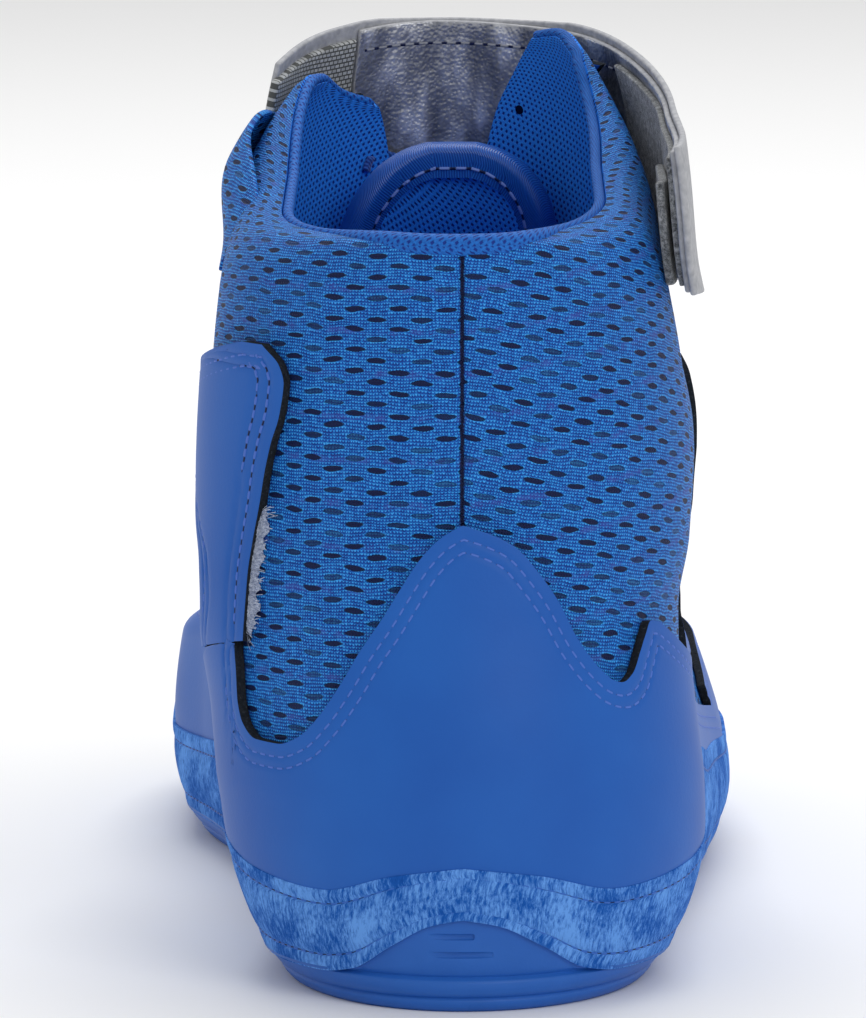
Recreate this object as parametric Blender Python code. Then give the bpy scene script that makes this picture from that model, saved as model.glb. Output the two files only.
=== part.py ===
"""Wrestling shoe for the right foot, empty and standing on its sole.

Metres, +Z up, toe towards +Y, outer side of the foot towards +X. Every soft piece is cut from one surface,
skin(turn, z): turn runs from -1 at the front ridge, along the inner side, over 0 at the back seam, to +1 at
the ridge again, and z is the height above the floor.
"""

import math
from collections import namedtuple

import bmesh
import bpy
import numpy as np
from mathutils import Vector

# Driving sizes of the last and of the shoe
SHOE_LENGTH = 0.2935
BALL_WIDTH = 0.1075
HEEL_WIDTH = 0.0872
ANKLE_WIDTH = 0.0900
TOE_HEIGHT = 0.046
INSTEP_HEIGHT = 0.076
COLLAR_HEIGHT = 0.138
FLAP_HEIGHT = 0.168
TOE_SPRING = 0.011
ARCH_RISE = 0.0035
THROAT_WIDTH = 0.0176
HEEL_ROUND = 0.042
TOE_ROUND = 0.046
SHAFT_ROUND = 0.060

# Thicknesses and clearances
UPPER_WALL = 0.0026
COLLAR_ROLL = 0.005
COLLAR_ROLL_HEIGHT = 0.012
SOLE_BASE = 0.005
SOLE_RIM = 0.0013
SOLE_BEAD = 0.0022
SOLE_BEAD_HEIGHT = 0.0056
BEAD_STEP = 0.0006
SUEDE = 0.0020
LEATHER = 0.0014
PANEL_LEATHER = 0.0022
INSOLE = 0.0035
TONGUE_PADDING = 0.0045
STRAP = 0.0024
WEBBING = 0.0018
GRIP_PATCH = 0.0016
CLEARANCE = 0.0003
SEAM_CLEARANCE = 0.0008
UNDERCUT = 0.0009

# Sole details
WAVE_HEIGHT = 0.0177
TOE_BUMPER_HEIGHT = 0.012
GROOVE_HEIGHT = 0.0026
GROOVE_DEPTH = 0.0006
RECESS_DEPTH = 0.0007
RECESS_HEIGHT = 0.0011
RECESS_OFFSET = -0.002
TREAD_CHANNEL_WIDTH = 0.003
TREAD_CHANNEL_DEPTH = 0.0012

# Fastenings
EYELET_PAIRS = 7
EYELET_DIAMETER = 0.0036
EYELET_INSET = 0.0045
EYESTAY_WIDTH = 0.012
EYESTAY_MEDIAL_TOP = 0.55
EYESTAY_LATERAL_TOP = 0.80
EYESTAY_BASE_SLANT = 0.55
LACE_WIDTH = 0.006
LACE_THICKNESS = 0.0011
TONGUE_HALF_WIDTH = 0.0250
TONGUE_HEIGHT = 0.146
TONGUE_LEAN = 0.013
TONGUE_SHIFT = 0.003

FRONT_COLUMNS = 13
NORMAL_STEP = 0.0004

# Heights between which the side walls change from the plan of the last to the shaft
Blend = namedtuple("Blend", "low high")
BLEND_MEDIAL = Blend(0.025, 0.080)
BLEND_LATERAL = Blend(0.008, 0.065)

Station = namedtuple("Station", "along size ridge medial lateral")
PLAN = (
    Station(0.000, HEEL_WIDTH, -0.020, -0.500, 0.490),
    Station(0.155, HEEL_WIDTH, -0.020, -0.508, 0.500),
    Station(0.260, HEEL_WIDTH, -0.032, -0.482, 0.500),
    Station(0.360, HEEL_WIDTH, -0.050, -0.455, 0.510),
    Station(0.480, BALL_WIDTH, -0.062, -0.402, 0.440),
    Station(0.590, BALL_WIDTH, -0.080, -0.470, 0.472),
    Station(0.680, BALL_WIDTH, -0.092, -0.530, 0.476),
    Station(0.770, BALL_WIDTH, -0.115, -0.532, 0.452),
    Station(0.870, BALL_WIDTH, -0.140, -0.510, 0.400),
    Station(1.000, BALL_WIDTH, -0.160, -0.500, 0.330),
)

Level = namedtuple("Level", "height medial lateral")
SHAFT = (
    Level(0.30, -0.530, 0.425),
    Level(0.40, -0.548, 0.425),
    Level(0.48, -0.542, 0.450),
    Level(0.56, -0.540, 0.456),
    Level(0.68, -0.528, 0.428),
    Level(0.79, -0.505, 0.392),
    Level(0.90, -0.475, 0.372),
    Level(1.00, -0.420, 0.320),
)

# How far the side walls stand out near the floor, as shares of the widest level
Flare = namedtuple("Flare", "height heel ball")
FLARE = (
    Flare(0.00, 0.71, 0.86),
    Flare(0.08, 0.752, 0.90),
    Flare(0.20, 0.815, 0.945),
    Flare(0.44, 0.905, 0.99),
    Flare(0.70, 0.97, 1.00),
    Flare(1.00, 1.00, 1.00),
)
FLARE_HEIGHT = 0.038

# The front ridge from the toe to the top of the throat, in three stretches, and the back seam
Rise = namedtuple("Rise", "rise along")
TOE_RIDGE = (
    Rise(0.00, 0.962),
    Rise(0.09, 0.975),
    Rise(0.22, 0.991),
    Rise(0.40, 1.000),
    Rise(0.61, 0.995),
    Rise(0.83, 0.968),
    Rise(1.00, 0.920),
)
VAMP_RIDGE = (
    Rise(0.23, 0.852),
    Rise(0.47, 0.777),
    Rise(0.73, 0.709),
    Rise(1.00, 0.654),
)
SHAFT_RIDGE = (
    Rise(0.155, 0.578),
    Rise(0.31, 0.528),
    Rise(0.49, 0.493),
    Rise(0.71, 0.470),
    Rise(1.00, 0.455),
)
BACK_SEAM = (
    Rise(0.00, 0.011),
    Rise(0.03, 0.010),
    Rise(0.11, 0.008),
    Rise(0.20, 0.005),
    Rise(0.33, 0.010),
    Rise(0.51, 0.031),
    Rise(0.69, 0.047),
    Rise(0.83, 0.050),
    Rise(1.00, 0.034),
)

# Top edge of the collar: 0 is the back of the collar, 1 the top of the outer flap
Top = namedtuple("Top", "along medial lateral")
TOPLINE = (
    Top(0.030, 0.00, 0.00),
    Top(0.136, 0.08, 0.13),
    Top(0.240, 0.25, 0.29),
    Top(0.313, 0.54, 0.55),
    Top(0.345, 0.68, 0.74),
    Top(0.372, 0.76, 0.96),
    Top(0.395, 0.74, 1.00),
    Top(0.426, 0.60, 0.97),
    Top(0.470, 0.45, 0.90),
)

# Half the throat opening, as a share of half its width, from its base to the top of the flaps
Opening = namedtuple("Opening", "rise half")
THROAT = (
    Opening(0.00, 0.00),
    Opening(0.05, 0.62),
    Opening(0.11, 0.88),
    Opening(0.20, 0.97),
    Opening(0.50, 1.00),
    Opening(0.72, 1.16),
    Opening(0.83, 1.42),
    Opening(0.91, 1.80),
    Opening(1.00, 2.25),
)

# Places of the columns of points round the heel, from the back seam, as shares of the length
HEEL_COLUMNS = (0.024, 0.048, 0.070, 0.090, 0.107, 0.128, 0.152, 0.178, 0.206)

# Rows of points of the upper, as shares of the toe, the vamp, the ankle and the collar
TOE_ROWS = (0, 0.18, 0.40, 0.62, 0.82, 1)
VAMP_ROWS = (0.22, 0.46, 0.72, 1)
ANKLE_ROWS = (0.12, 0.34, 0.67, 1)
COLLAR_ROWS = (0.36, 0.68, 0.87, 1)
ANKLE_TOP = INSTEP_HEIGHT + 0.62 * (COLLAR_HEIGHT - INSTEP_HEIGHT)

# Edges measured around the shoe from the back seam, as shares of its length
Edge = namedtuple("Edge", "around height")
RUBBER_WAVE = (
    Edge(0.000, 1.00),
    Edge(0.020, 0.93),
    Edge(0.045, 0.72),
    Edge(0.080, 0.44),
    Edge(0.110, 0.38),
    Edge(1.000, 0.38),
)
RAND_TOP_HEIGHT = 0.0267
RAND_TOP = (
    Edge(0.000, 1.00),
    Edge(0.040, 0.94),
    Edge(0.090, 0.81),
    Edge(0.150, 0.88),
    Edge(0.210, 1.00),
    Edge(0.420, 1.05),
    Edge(0.640, 0.84),
    Edge(0.900, 0.86),
    Edge(1.120, 1.08),
)
COUNTER_HEIGHT = 0.087
COUNTER_MEDIAL = (
    Edge(0.000, 1.000),
    Edge(0.015, 0.972),
    Edge(0.028, 0.929),
    Edge(0.040, 0.868),
    Edge(0.052, 0.799),
    Edge(0.064, 0.737),
    Edge(0.076, 0.667),
    Edge(0.089, 0.603),
    Edge(0.102, 0.558),
    Edge(0.118, 0.538),
    Edge(0.138, 0.540),
    Edge(0.153, 0.568),
    Edge(0.160, 0.610),
    Edge(0.164, 0.690),
    Edge(0.168, 0.736),
    Edge(0.187, 0.722),
    Edge(0.215, 0.700),
    Edge(0.240, 0.660),
    Edge(0.265, 0.570),
    Edge(0.300, 0.510),
    Edge(0.350, 0.490),
)
COUNTER_LATERAL = (
    Edge(0.000, 1.000),
    Edge(0.020, 0.980),
    Edge(0.037, 0.952),
    Edge(0.053, 0.897),
    Edge(0.068, 0.833),
    Edge(0.081, 0.751),
    Edge(0.094, 0.693),
    Edge(0.103, 0.668),
    Edge(0.110, 0.662),
    Edge(0.120, 0.676),
    Edge(0.133, 0.722),
    Edge(0.142, 0.755),
    Edge(0.150, 0.779),
    Edge(0.160, 0.773),
    Edge(0.170, 0.756),
    Edge(0.194, 0.713),
    Edge(0.220, 0.676),
    Edge(0.300, 0.575),
    Edge(0.440, 0.430),
    Edge(0.560, 0.345),
)
COUNTER_MEDIAL_END = 0.350
COUNTER_LATERAL_END = 0.560
GUARD_HEIGHT = 0.048
GUARD_MEDIAL = (
    Edge(0.350, 0.890),
    Edge(0.450, 0.930),
    Edge(0.550, 1.000),
    Edge(0.620, 1.040),
    Edge(0.700, 1.000),
    Edge(0.900, 0.950),
    Edge(1.200, 0.980),
)
GUARD_LATERAL = (
    Edge(0.560, 0.72),
    Edge(0.640, 0.84),
    Edge(0.800, 0.90),
    Edge(1.200, 0.98),
)

# Ankle panels, a row for each height, with the places of their rear and front edges
Panel = namedtuple("Panel", "height rear front")
MEDIAL_PANEL_HEIGHT = 0.1182
MEDIAL_PANEL_BASE = 0.736 * COUNTER_HEIGHT + SEAM_CLEARANCE
MEDIAL_PANEL = (
    Panel(0.545, 0.087, 0.150),
    Panel(0.605, 0.089, 0.142),
    Panel(0.665, 0.092, 0.150),
    Panel(0.720, 0.093, 0.175),
    Panel(0.780, 0.093, 0.205),
    Panel(0.845, 0.091, 0.225),
    Panel(0.890, 0.088, 0.225),
    Panel(0.940, 0.087, 0.200),
    Panel(0.970, 0.090, 0.160),
    Panel(1.000, 0.100, 0.115),
)
LATERAL_PANEL_HEIGHT = 0.107
LATERAL_PANEL_BASE = 0.51 * COUNTER_HEIGHT
LATERAL_PANEL = (
    Panel(0.400, 0.372, 0.492),
    Panel(0.550, 0.368, 0.484),
    Panel(0.700, 0.360, 0.472),
    Panel(0.840, 0.342, 0.452),
    Panel(0.920, 0.334, 0.430),
    Panel(0.970, 0.342, 0.408),
    Panel(1.000, 0.360, 0.385),
)

# The ankle strap, from its anchor on the inner side round the front to its end on the outer side
Strap = namedtuple("Strap", "turn top width lift")
STRAP_TOP = 0.1675
STRAP_WIDTH = 0.042
STRAP_PATH = (
    Strap(-0.60, 0.912, 0.67, 0.02),
    Strap(-0.70, 0.952, 0.84, 0.40),
    Strap(-0.84, 0.984, 0.96, 0.90),
    Strap(-1.00, 0.999, 1.00, 1.00),
    Strap(-1.20, 0.990, 1.00, 1.00),
    Strap(-1.35, 0.964, 0.95, 0.80),
    Strap(-1.50, 0.928, 0.80, 0.70),
    Strap(-1.68, 0.905, 0.62, 0.92),
)
STRAP_STAND_OFF = 0.0044
WEBBING_END = -0.88
WEBBING_GAP = 0.006
GRIP_PATCH_TURNS = (0.34, 0.52)
GRIP_PATCH_ROWS = (0.755, 0.81, 0.87)

# Recesses in the wave at the heel and channels across the tread, turned by an angle in radians
Recess = namedtuple("Recess", "height width")
HEEL_RECESSES = (
    Recess(0.60, 0.0155),
    Recess(0.79, 0.0085),
)
Channel = namedtuple("Channel", "along turned")
TREAD_CHANNELS = (
    Channel(0.10, 0.0),
    Channel(0.19, 0.0),
    Channel(0.50, -0.2),
    Channel(0.58, -0.2),
    Channel(0.66, -0.2),
    Channel(0.74, -0.2),
)

# The tongue, from its sewn end to its round top
Tongue = namedtuple("Tongue", "rise half lean")
TONGUE = (
    Tongue(0.00, 0.80, 0.00),
    Tongue(0.12, 0.98, 0.00),
    Tongue(0.30, 1.00, 0.00),
    Tongue(0.45, 1.00, 0.08),
    Tongue(0.60, 0.98, 0.25),
    Tongue(0.74, 0.94, 0.48),
    Tongue(0.86, 0.84, 0.74),
    Tongue(0.94, 0.66, 0.90),
    Tongue(0.985, 0.42, 0.98),
    Tongue(1.00, 0.22, 1.00),
)
TONGUE_BASE = TOE_HEIGHT + 0.62 * (INSTEP_HEIGHT - TOE_HEIGHT)

Surface = namedtuple("Surface", "colour roughness metallic")
LEATHER_BLUE = Surface((0.155, 0.345, 0.68), 0.55, 0.0)
SUEDE_BLUE = Surface((0.18, 0.39, 0.74), 0.95, 0.0)
MESH_BLUE = Surface((0.13, 0.38, 0.75), 0.7, 0.0)
KNIT_BLUE = Surface((0.12, 0.36, 0.78), 0.8, 0.0)
RUBBER_BLUE = Surface((0.13, 0.34, 0.68), 0.45, 0.0)
LACE_BLUE = Surface((0.12, 0.30, 0.66), 0.8, 0.0)
SILVER = Surface((0.54, 0.55, 0.58), 0.35, 0.7)
WEBBING_GREY = Surface((0.45, 0.46, 0.44), 0.85, 0.0)
GRIP_GREY = Surface((0.40, 0.41, 0.40), 0.95, 0.0)


class Curve:
    """A smooth curve through points in order, which never swings past them."""

    def __init__(self, places, values):
        self.places = np.array(places, float)
        self.values = np.array(values, float)
        slopes = np.diff(self.values) / np.diff(self.places)
        inner = np.zeros(len(slopes) - 1)
        same = slopes[1:] * slopes[:-1] > 0
        inner[same] = 2 * slopes[1:][same] * slopes[:-1][same] / (slopes[1:] + slopes[:-1])[same]
        self.tangents = np.concatenate([slopes[:1], inner, slopes[-1:]])

    def __call__(self, place):
        place = np.clip(place, self.places[0], self.places[-1])
        index = np.clip(np.searchsorted(self.places, place, side="right") - 1, 0, len(self.places) - 2)
        span = self.places[index + 1] - self.places[index]
        part = (place - self.places[index]) / span
        start, end = self.values[index], self.values[index + 1]
        bend_in, bend_out = self.tangents[index] * span, self.tangents[index + 1] * span
        return (
            start * (1 + 2 * part) * (1 - part) ** 2
            + bend_in * part * (1 - part) ** 2
            + end * part**2 * (3 - 2 * part)
            + bend_out * part**2 * (part - 1)
        )


def ease(value, low, high):
    """0 below low, 1 above high and smooth between."""
    share = np.clip((value - low) / (high - low), 0, 1)
    return share * share * (3 - 2 * share)


def rounded(share):
    """Half-width of a round end, at this share of its radius in from the end."""
    return np.sqrt(1 - (1 - np.clip(share, 0, 1)) ** 2)


def ridge_points():
    low = [(row.rise * TOE_HEIGHT, row.along) for row in TOE_RIDGE]
    vamp = [(TOE_HEIGHT + row.rise * (INSTEP_HEIGHT - TOE_HEIGHT), row.along) for row in VAMP_RIDGE]
    shaft = [(INSTEP_HEIGHT + row.rise * (FLAP_HEIGHT - INSTEP_HEIGHT), row.along) for row in SHAFT_RIDGE]
    return low + vamp + shaft


def edge_curve(rows, height):
    return Curve([row.around * SHOE_LENGTH for row in rows], [row.height * height for row in rows])


ridge = Curve([z for z, _ in ridge_points()], [along * SHOE_LENGTH for _, along in ridge_points()])
back_seam = Curve(
    [row.rise * COLLAR_HEIGHT for row in BACK_SEAM], [row.along * SHOE_LENGTH for row in BACK_SEAM]
)
plan_along = [row.along * SHOE_LENGTH for row in PLAN]
plan_ridge = Curve(plan_along, [row.ridge * row.size for row in PLAN])
plan_medial = Curve(plan_along, [row.medial * row.size for row in PLAN])
plan_lateral = Curve(plan_along, [row.lateral * row.size for row in PLAN])
shaft_heights = [row.height * FLAP_HEIGHT for row in SHAFT]
shaft_medial = Curve(shaft_heights, [row.medial * ANKLE_WIDTH for row in SHAFT])
shaft_lateral = Curve(shaft_heights, [row.lateral * ANKLE_WIDTH for row in SHAFT])
flare_heel = Curve([row.height * FLARE_HEIGHT for row in FLARE], [row.heel for row in FLARE])
flare_ball = Curve([row.height * FLARE_HEIGHT for row in FLARE], [row.ball for row in FLARE])
top_along = [row.along * SHOE_LENGTH for row in TOPLINE]
top_medial = Curve(top_along, [row.medial for row in TOPLINE])
top_lateral = Curve(top_along, [row.lateral for row in TOPLINE])
throat_share = Curve(
    [INSTEP_HEIGHT + row.rise * (FLAP_HEIGHT - INSTEP_HEIGHT) for row in THROAT],
    [row.half for row in THROAT],
)


def half_width(side, y, z):
    """Distance from the ridge line to the side wall, before the round ends are taken off."""
    mix = np.where(side < 0, ease(z, *BLEND_MEDIAL), ease(z, *BLEND_LATERAL))
    low = np.where(side < 0, plan_medial(y), plan_lateral(y))
    high = np.where(side < 0, shaft_medial(z), shaft_lateral(z))
    ball = ease(y, 0.20 * SHOE_LENGTH, 0.48 * SHOE_LENGTH)
    flare = flare_heel(z) + (flare_ball(z) - flare_heel(z)) * ball
    return np.abs(low + (high - low) * mix - plan_ridge(y)) * flare


def steepness(z):
    """Sine of the front ridge's angle to the floor."""
    slope = (ridge(z + NORMAL_STEP) - ridge(z - NORMAL_STEP)) / (2 * NORMAL_STEP)
    return 1 / np.sqrt(1 + slope**2)


def front_round(z):
    """Radius of the round front, larger round the ankle than over the toes."""
    return TOE_ROUND + (SHAFT_ROUND - TOE_ROUND) * ease(z, INSTEP_HEIGHT, COLLAR_HEIGHT)


def on_side(side, y, z):
    """The point of the upper's outer surface on one side, at a place along the shoe and a height."""
    width = half_width(side, y, z) * rounded((y - back_seam(z)) / HEEL_ROUND)
    width = width * rounded((ridge(z) - y) * steepness(z) / front_round(z))
    return np.stack(np.broadcast_arrays(plan_ridge(y) + side * width, y, z), -1)


def set_back(side, width, z):
    """How far behind the ridge the surface is this wide."""
    y = ridge(z)
    for _ in range(3):
        share = np.clip(width / half_width(side, y, z), 0, 0.999)
        y = ridge(z) - (1 - np.sqrt(1 - share**2)) * front_round(z) / steepness(z)
    return ridge(z) - y


def throat_half(z):
    return throat_share(z) * THROAT_WIDTH / 2


def skin(turn, z, throat=False):
    """The outer surface of the upper; with throat, turn -1 and +1 are the edges of the throat opening."""
    turn, z = np.broadcast_arrays(np.asarray(turn, float), np.asarray(z, float))
    side = np.where(turn < 0, -1, 1)
    front = ridge(z)
    if throat:
        front = front - set_back(side, throat_half(z), z)
    y = back_seam(z) + (front - back_seam(z)) * (1 - np.cos(np.pi * np.abs(turn))) / 2
    return on_side(side, y, z)


def across(width, z):
    """The point of the surface at this distance to one side of the ridge; a negative width is the inner side."""
    width, z = np.broadcast_arrays(np.asarray(width, float), np.asarray(z, float))
    side = np.where(width < 0, -1, 1)
    y = ridge(z) - set_back(side, np.abs(width), z)
    return np.stack([plan_ridge(y) + width, y, z], -1)


def raised(surface, first, z, out, **settings):
    """A surface's points moved out along its normals."""
    left, right = np.maximum(first - NORMAL_STEP, -1), np.minimum(first + NORMAL_STEP, 1)
    run = surface(right, z, **settings) - surface(left, z, **settings)
    rise = surface(first, z + NORMAL_STEP, **settings) - surface(first, z - NORMAL_STEP, **settings)
    normal = np.cross(run, rise)
    normal /= np.linalg.norm(normal, axis=-1, keepdims=True)
    return surface(first, z, **settings) + normal * np.asarray(out)[..., None]


def over_front(width, z, out):
    """A point over the front ridge, moved out; across runs against the turn, so its normal points inward."""
    return raised(across, np.asarray(width, float), z, -np.asarray(out, float))


def ring_at(turns, z, out):
    """A closed ring of raised points, whose two ends are one point on the ridge."""
    points = raised(skin, turns, z, out + 0 * turns)
    points[0] = points[-1] = (points[0] + points[-1]) / 2
    return points


def beside(side, y, z, out):
    """A point over one side of the upper, moved out along its normal."""
    run = on_side(side, y + side * NORMAL_STEP, z) - on_side(side, y - side * NORMAL_STEP, z)
    rise = on_side(side, y, z + NORMAL_STEP) - on_side(side, y, z - NORMAL_STEP)
    normal = np.cross(run, rise)
    normal /= np.linalg.norm(normal, axis=-1, keepdims=True)
    return on_side(side, y, z) + normal * np.asarray(out)[..., None]


def floor_gap(y):
    """Height of the tread above the floor: the arch and the toe spring."""
    share = y / SHOE_LENGTH
    arch = np.sin(np.pi * np.clip((share - 0.28) / 0.155, 0, 1)) ** 2 * ARCH_RISE
    toe = np.clip((share - 0.79) / 0.21, 0, 1) ** 1.6 * TOE_SPRING
    return arch + toe


def settle(turn, height_at, guess, **settings):
    """Heights that follow the place along the shoe, where that place follows the height in turn."""
    z = np.zeros_like(turn) + guess
    for _ in range(4):
        z = height_at(skin(turn, z, **settings)[..., 1])
    return z


def turns_around():
    """Distances around the outer side and the inner side from the back seam, and the turns they belong to."""
    turns = np.linspace(0, 1, 241)
    found = []
    for side in (-1, 1):
        path = skin(turns * side, 0.6 * COUNTER_HEIGHT)
        steps = np.linalg.norm(np.diff(path, axis=0), axis=1)
        found.append(np.concatenate([[0], np.cumsum(steps)]))
    return turns, found


TURNS, (GIRTH_MEDIAL, GIRTH_LATERAL) = turns_around()


def distance_around(turn):
    medial = np.interp(np.abs(turn), TURNS, GIRTH_MEDIAL)
    lateral = np.interp(np.abs(turn), TURNS, GIRTH_LATERAL)
    return np.where(turn < 0, medial, lateral)


def turn_at(distance):
    """The turn this far around from the back seam; a negative distance is on the inner side."""
    medial = np.interp(np.abs(distance), GIRTH_MEDIAL, TURNS)
    lateral = np.interp(np.abs(distance), GIRTH_LATERAL, TURNS)
    return np.where(distance < 0, -medial, lateral)


def material(name, surface):
    made = bpy.data.materials.new(name)
    made.use_nodes = True
    shader = made.node_tree.nodes["Principled BSDF"]
    linear = [((part + 0.055) / 1.055) ** 2.4 for part in surface.colour]
    shader.inputs["Base Color"].default_value = (*linear, 1)
    shader.inputs["Roughness"].default_value = surface.roughness
    shader.inputs["Metallic"].default_value = surface.metallic
    return made


def object_from(name, mesh_data, surface):
    bmesh.ops.remove_doubles(mesh_data, verts=mesh_data.verts, dist=1e-6)
    mesh = bpy.data.meshes.new(name)
    mesh_data.to_mesh(mesh)
    mesh_data.free()
    mesh.shade_smooth()
    mesh.set_sharp_from_angle(angle=math.radians(40))
    made = bpy.data.objects.new(name, mesh)
    made.data.materials.append(material(name, surface))
    bpy.context.scene.collection.objects.link(made)
    return made


def grid_faces(mesh_data, grid):
    """Quads over rows of points, facing out where rows go up and columns from the inner to the outer side."""
    rows = [[mesh_data.verts.new(point) for point in row] for row in grid]
    for low, high in zip(rows, rows[1:]):
        for column in range(len(low) - 1):
            mesh_data.faces.new((low[column], low[column + 1], high[column + 1], high[column]))
    return rows


def sheet(name, grid, thickness, surface, inward=False):
    """A piece cut from sheet: a grid of points with its thickness added outwards, or inwards."""
    mesh_data = bmesh.new()
    grid_faces(mesh_data, grid)
    bmesh.ops.triangulate(mesh_data, faces=mesh_data.faces, quad_method="FIXED")
    made = object_from(name, mesh_data, surface)
    solidify = made.modifiers.new("thickness", "SOLIDIFY")
    solidify.thickness = thickness
    solidify.offset = -1 if inward else 1
    solidify.use_even_offset = True
    return made


def cut(target, cutter, name):
    modifier = target.modifiers.new(name, "BOOLEAN")
    modifier.operation = "DIFFERENCE"
    modifier.solver = "EXACT"
    modifier.object = cutter


def helper(made):
    made.hide_render = True
    made.display_type = "WIRE"
    return made


def wave_height(turn, y):
    """Top of the rubber wall: a wave at the heel, a low lip along the sides and a bumper at the toe."""
    around = edge_curve(RUBBER_WAVE, WAVE_HEIGHT)(distance_around(turn))
    return around + floor_gap(y) + TOE_BUMPER_HEIGHT * ease(y, 0.90 * SHOE_LENGTH, 0.99 * SHOE_LENGTH)


def rand_top(turn, y):
    return edge_curve(RAND_TOP, RAND_TOP_HEIGHT)(distance_around(turn)) + floor_gap(y)


def ring_turns():
    """The columns of every piece that runs round the shoe: close together at the heel, even in front of it."""
    heel = turn_at(np.array(HEEL_COLUMNS) * SHOE_LENGTH)
    front = np.linspace(heel[-1], 1, FRONT_COLUMNS + 1)[1:]
    outer = np.concatenate([heel, front])
    return np.concatenate([-outer[::-1], [0], outer])


def turns_between(start, end):
    """The ring's columns between two distances around; a negative distance is on the inner side."""
    distances = signed_distance(ring_turns())
    return ring_turns()[(distances > start - CLEARANCE) & (distances < end + CLEARANCE)]


def signed_distance(turn):
    return np.sign(turn) * distance_around(turn)


def outsole(form):
    """Moulded rubber: tread, a grooved bead, the wall with its wave, and the footbed inside the wall."""
    turns = ring_turns()
    mesh_data = bmesh.new()

    def ring(height, out):
        return ring_at(turns, settle(turns, height, SOLE_BASE), out)

    def at(height):
        return lambda y: floor_gap(y) + height

    def up_wall(share):
        def height(y):
            low = floor_gap(y) + SOLE_BEAD_HEIGHT + BEAD_STEP
            return low + (wave_height(turns, y) - low) * share

        return height

    wall = CLEARANCE + SOLE_RIM
    groove = SOLE_BEAD - GROOVE_DEPTH
    profile = [
        (at(0), 0.25 * SOLE_BEAD),
        (at(0.25 * SOLE_BEAD_HEIGHT), SOLE_BEAD),
        (at(GROOVE_HEIGHT - GROOVE_DEPTH), SOLE_BEAD),
        (at(GROOVE_HEIGHT), groove),
        (at(GROOVE_HEIGHT + GROOVE_DEPTH), SOLE_BEAD),
        (at(SOLE_BEAD_HEIGHT), SOLE_BEAD),
        (up_wall(0), wall),
        (up_wall(1), wall),
        (up_wall(1), CLEARANCE / 2),
        (at(SOLE_BASE), CLEARANCE / 2),
    ]
    rings = [ring(height, out) for height, out in profile]
    for level in (0, 1):
        rings[level][:, 2] = settle(turns, profile[level][0], 0)
    rows = grid_faces(mesh_data, rings)
    last = len(turns) - 1
    for column in range(last // 2):
        left, right = column, last - column
        tread = (rows[0][left], rows[0][right], rows[0][right - 1], rows[0][left + 1])
        footbed = (rows[-1][left], rows[-1][left + 1], rows[-1][right - 1], rows[-1][right])
        at_back = right - left == 2
        mesh_data.faces.new(tread[:3] if at_back else tread)
        mesh_data.faces.new(footbed[:2] + footbed[3:] if at_back else footbed)
    made = object_from("outsole", mesh_data, RUBBER_BLUE)
    cut(made, tread_channels(), "tread channels")
    cut(made, heel_recesses(), "heel recesses")
    cut(made, form, "room for the upper")
    return made


def box(mesh_data, centre, size, turned=0.0):
    """A block in a mesh, turned about the vertical."""
    made = bmesh.ops.create_cube(mesh_data, size=1)["verts"]
    bmesh.ops.scale(mesh_data, verts=made, vec=size)
    cos, sin = math.cos(turned), math.sin(turned)
    for vertex in made:
        x, y, z = vertex.co
        vertex.co = Vector(centre) + Vector((x * cos - y * sin, x * sin + y * cos, z))


def tread_channels():
    """Channels that part the tread into its main lugs, two under the heel and four under the ball."""
    mesh_data = bmesh.new()
    size = (2 * BALL_WIDTH, TREAD_CHANNEL_WIDTH, 2 * TREAD_CHANNEL_DEPTH)
    for channel in TREAD_CHANNELS:
        box(mesh_data, (0, channel.along * SHOE_LENGTH, 0), size, channel.turned)
    return helper(object_from("tread channel cutter", mesh_data, RUBBER_BLUE))


def heel_recesses():
    """Two short level recesses in the rubber wave at the back."""
    mesh_data = bmesh.new()
    for recess in HEEL_RECESSES:
        z = recess.height * WAVE_HEIGHT
        outside = raised(skin, np.array(0.0), np.array(z), np.array(CLEARANCE + SOLE_RIM))
        place = (outside[0] + RECESS_OFFSET, outside[1], z)
        box(mesh_data, place, (recess.width, 2 * RECESS_DEPTH, RECESS_HEIGHT))
    return helper(object_from("heel recess cutter", mesh_data, RUBBER_BLUE))


def feather_height(y):
    """Lower edge of the upper, on the footbed of the outsole."""
    return floor_gap(y) + SOLE_BASE + CLEARANCE


def topline(side, y):
    share = np.where(side < 0, top_medial(y), top_lateral(y))
    return COLLAR_HEIGHT + (FLAP_HEIGHT - COLLAR_HEIGHT) * share


def upper_grid(out):
    """Rows of points from the feather edge to the collar, moved out by this much."""
    turns = ring_turns()
    side = np.where(turns < 0, -1, 1)
    rows = []
    for share in TOE_ROWS:
        z = settle(turns, lambda y: feather_height(y) * (1 - share) + TOE_HEIGHT * share, SOLE_BASE)
        rows.append(ring_at(turns, z, out))
    for share in VAMP_ROWS:
        z = TOE_HEIGHT + share * (INSTEP_HEIGHT - TOE_HEIGHT) + 0 * turns
        rows.append(ring_at(turns, z, out))
    for share in ANKLE_ROWS:
        z = INSTEP_HEIGHT + share * (ANKLE_TOP - INSTEP_HEIGHT) + 0 * turns
        rows.append(raised(skin, turns, z, out + 0 * turns, throat=True))
    for share in COLLAR_ROWS:
        z = settle(turns, lambda y: ANKLE_TOP + share * (topline(side, y) - ANKLE_TOP), ANKLE_TOP, throat=True)
        below = topline(side, skin(turns, z, throat=True)[..., 1]) - z
        roll = COLLAR_ROLL * (1 - rounded(below / COLLAR_ROLL_HEIGHT)) * (1 - ease(np.abs(turns), 0.55, 0.85))
        rows.append(raised(skin, turns, z, out - roll, throat=True))
    return rows


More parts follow.
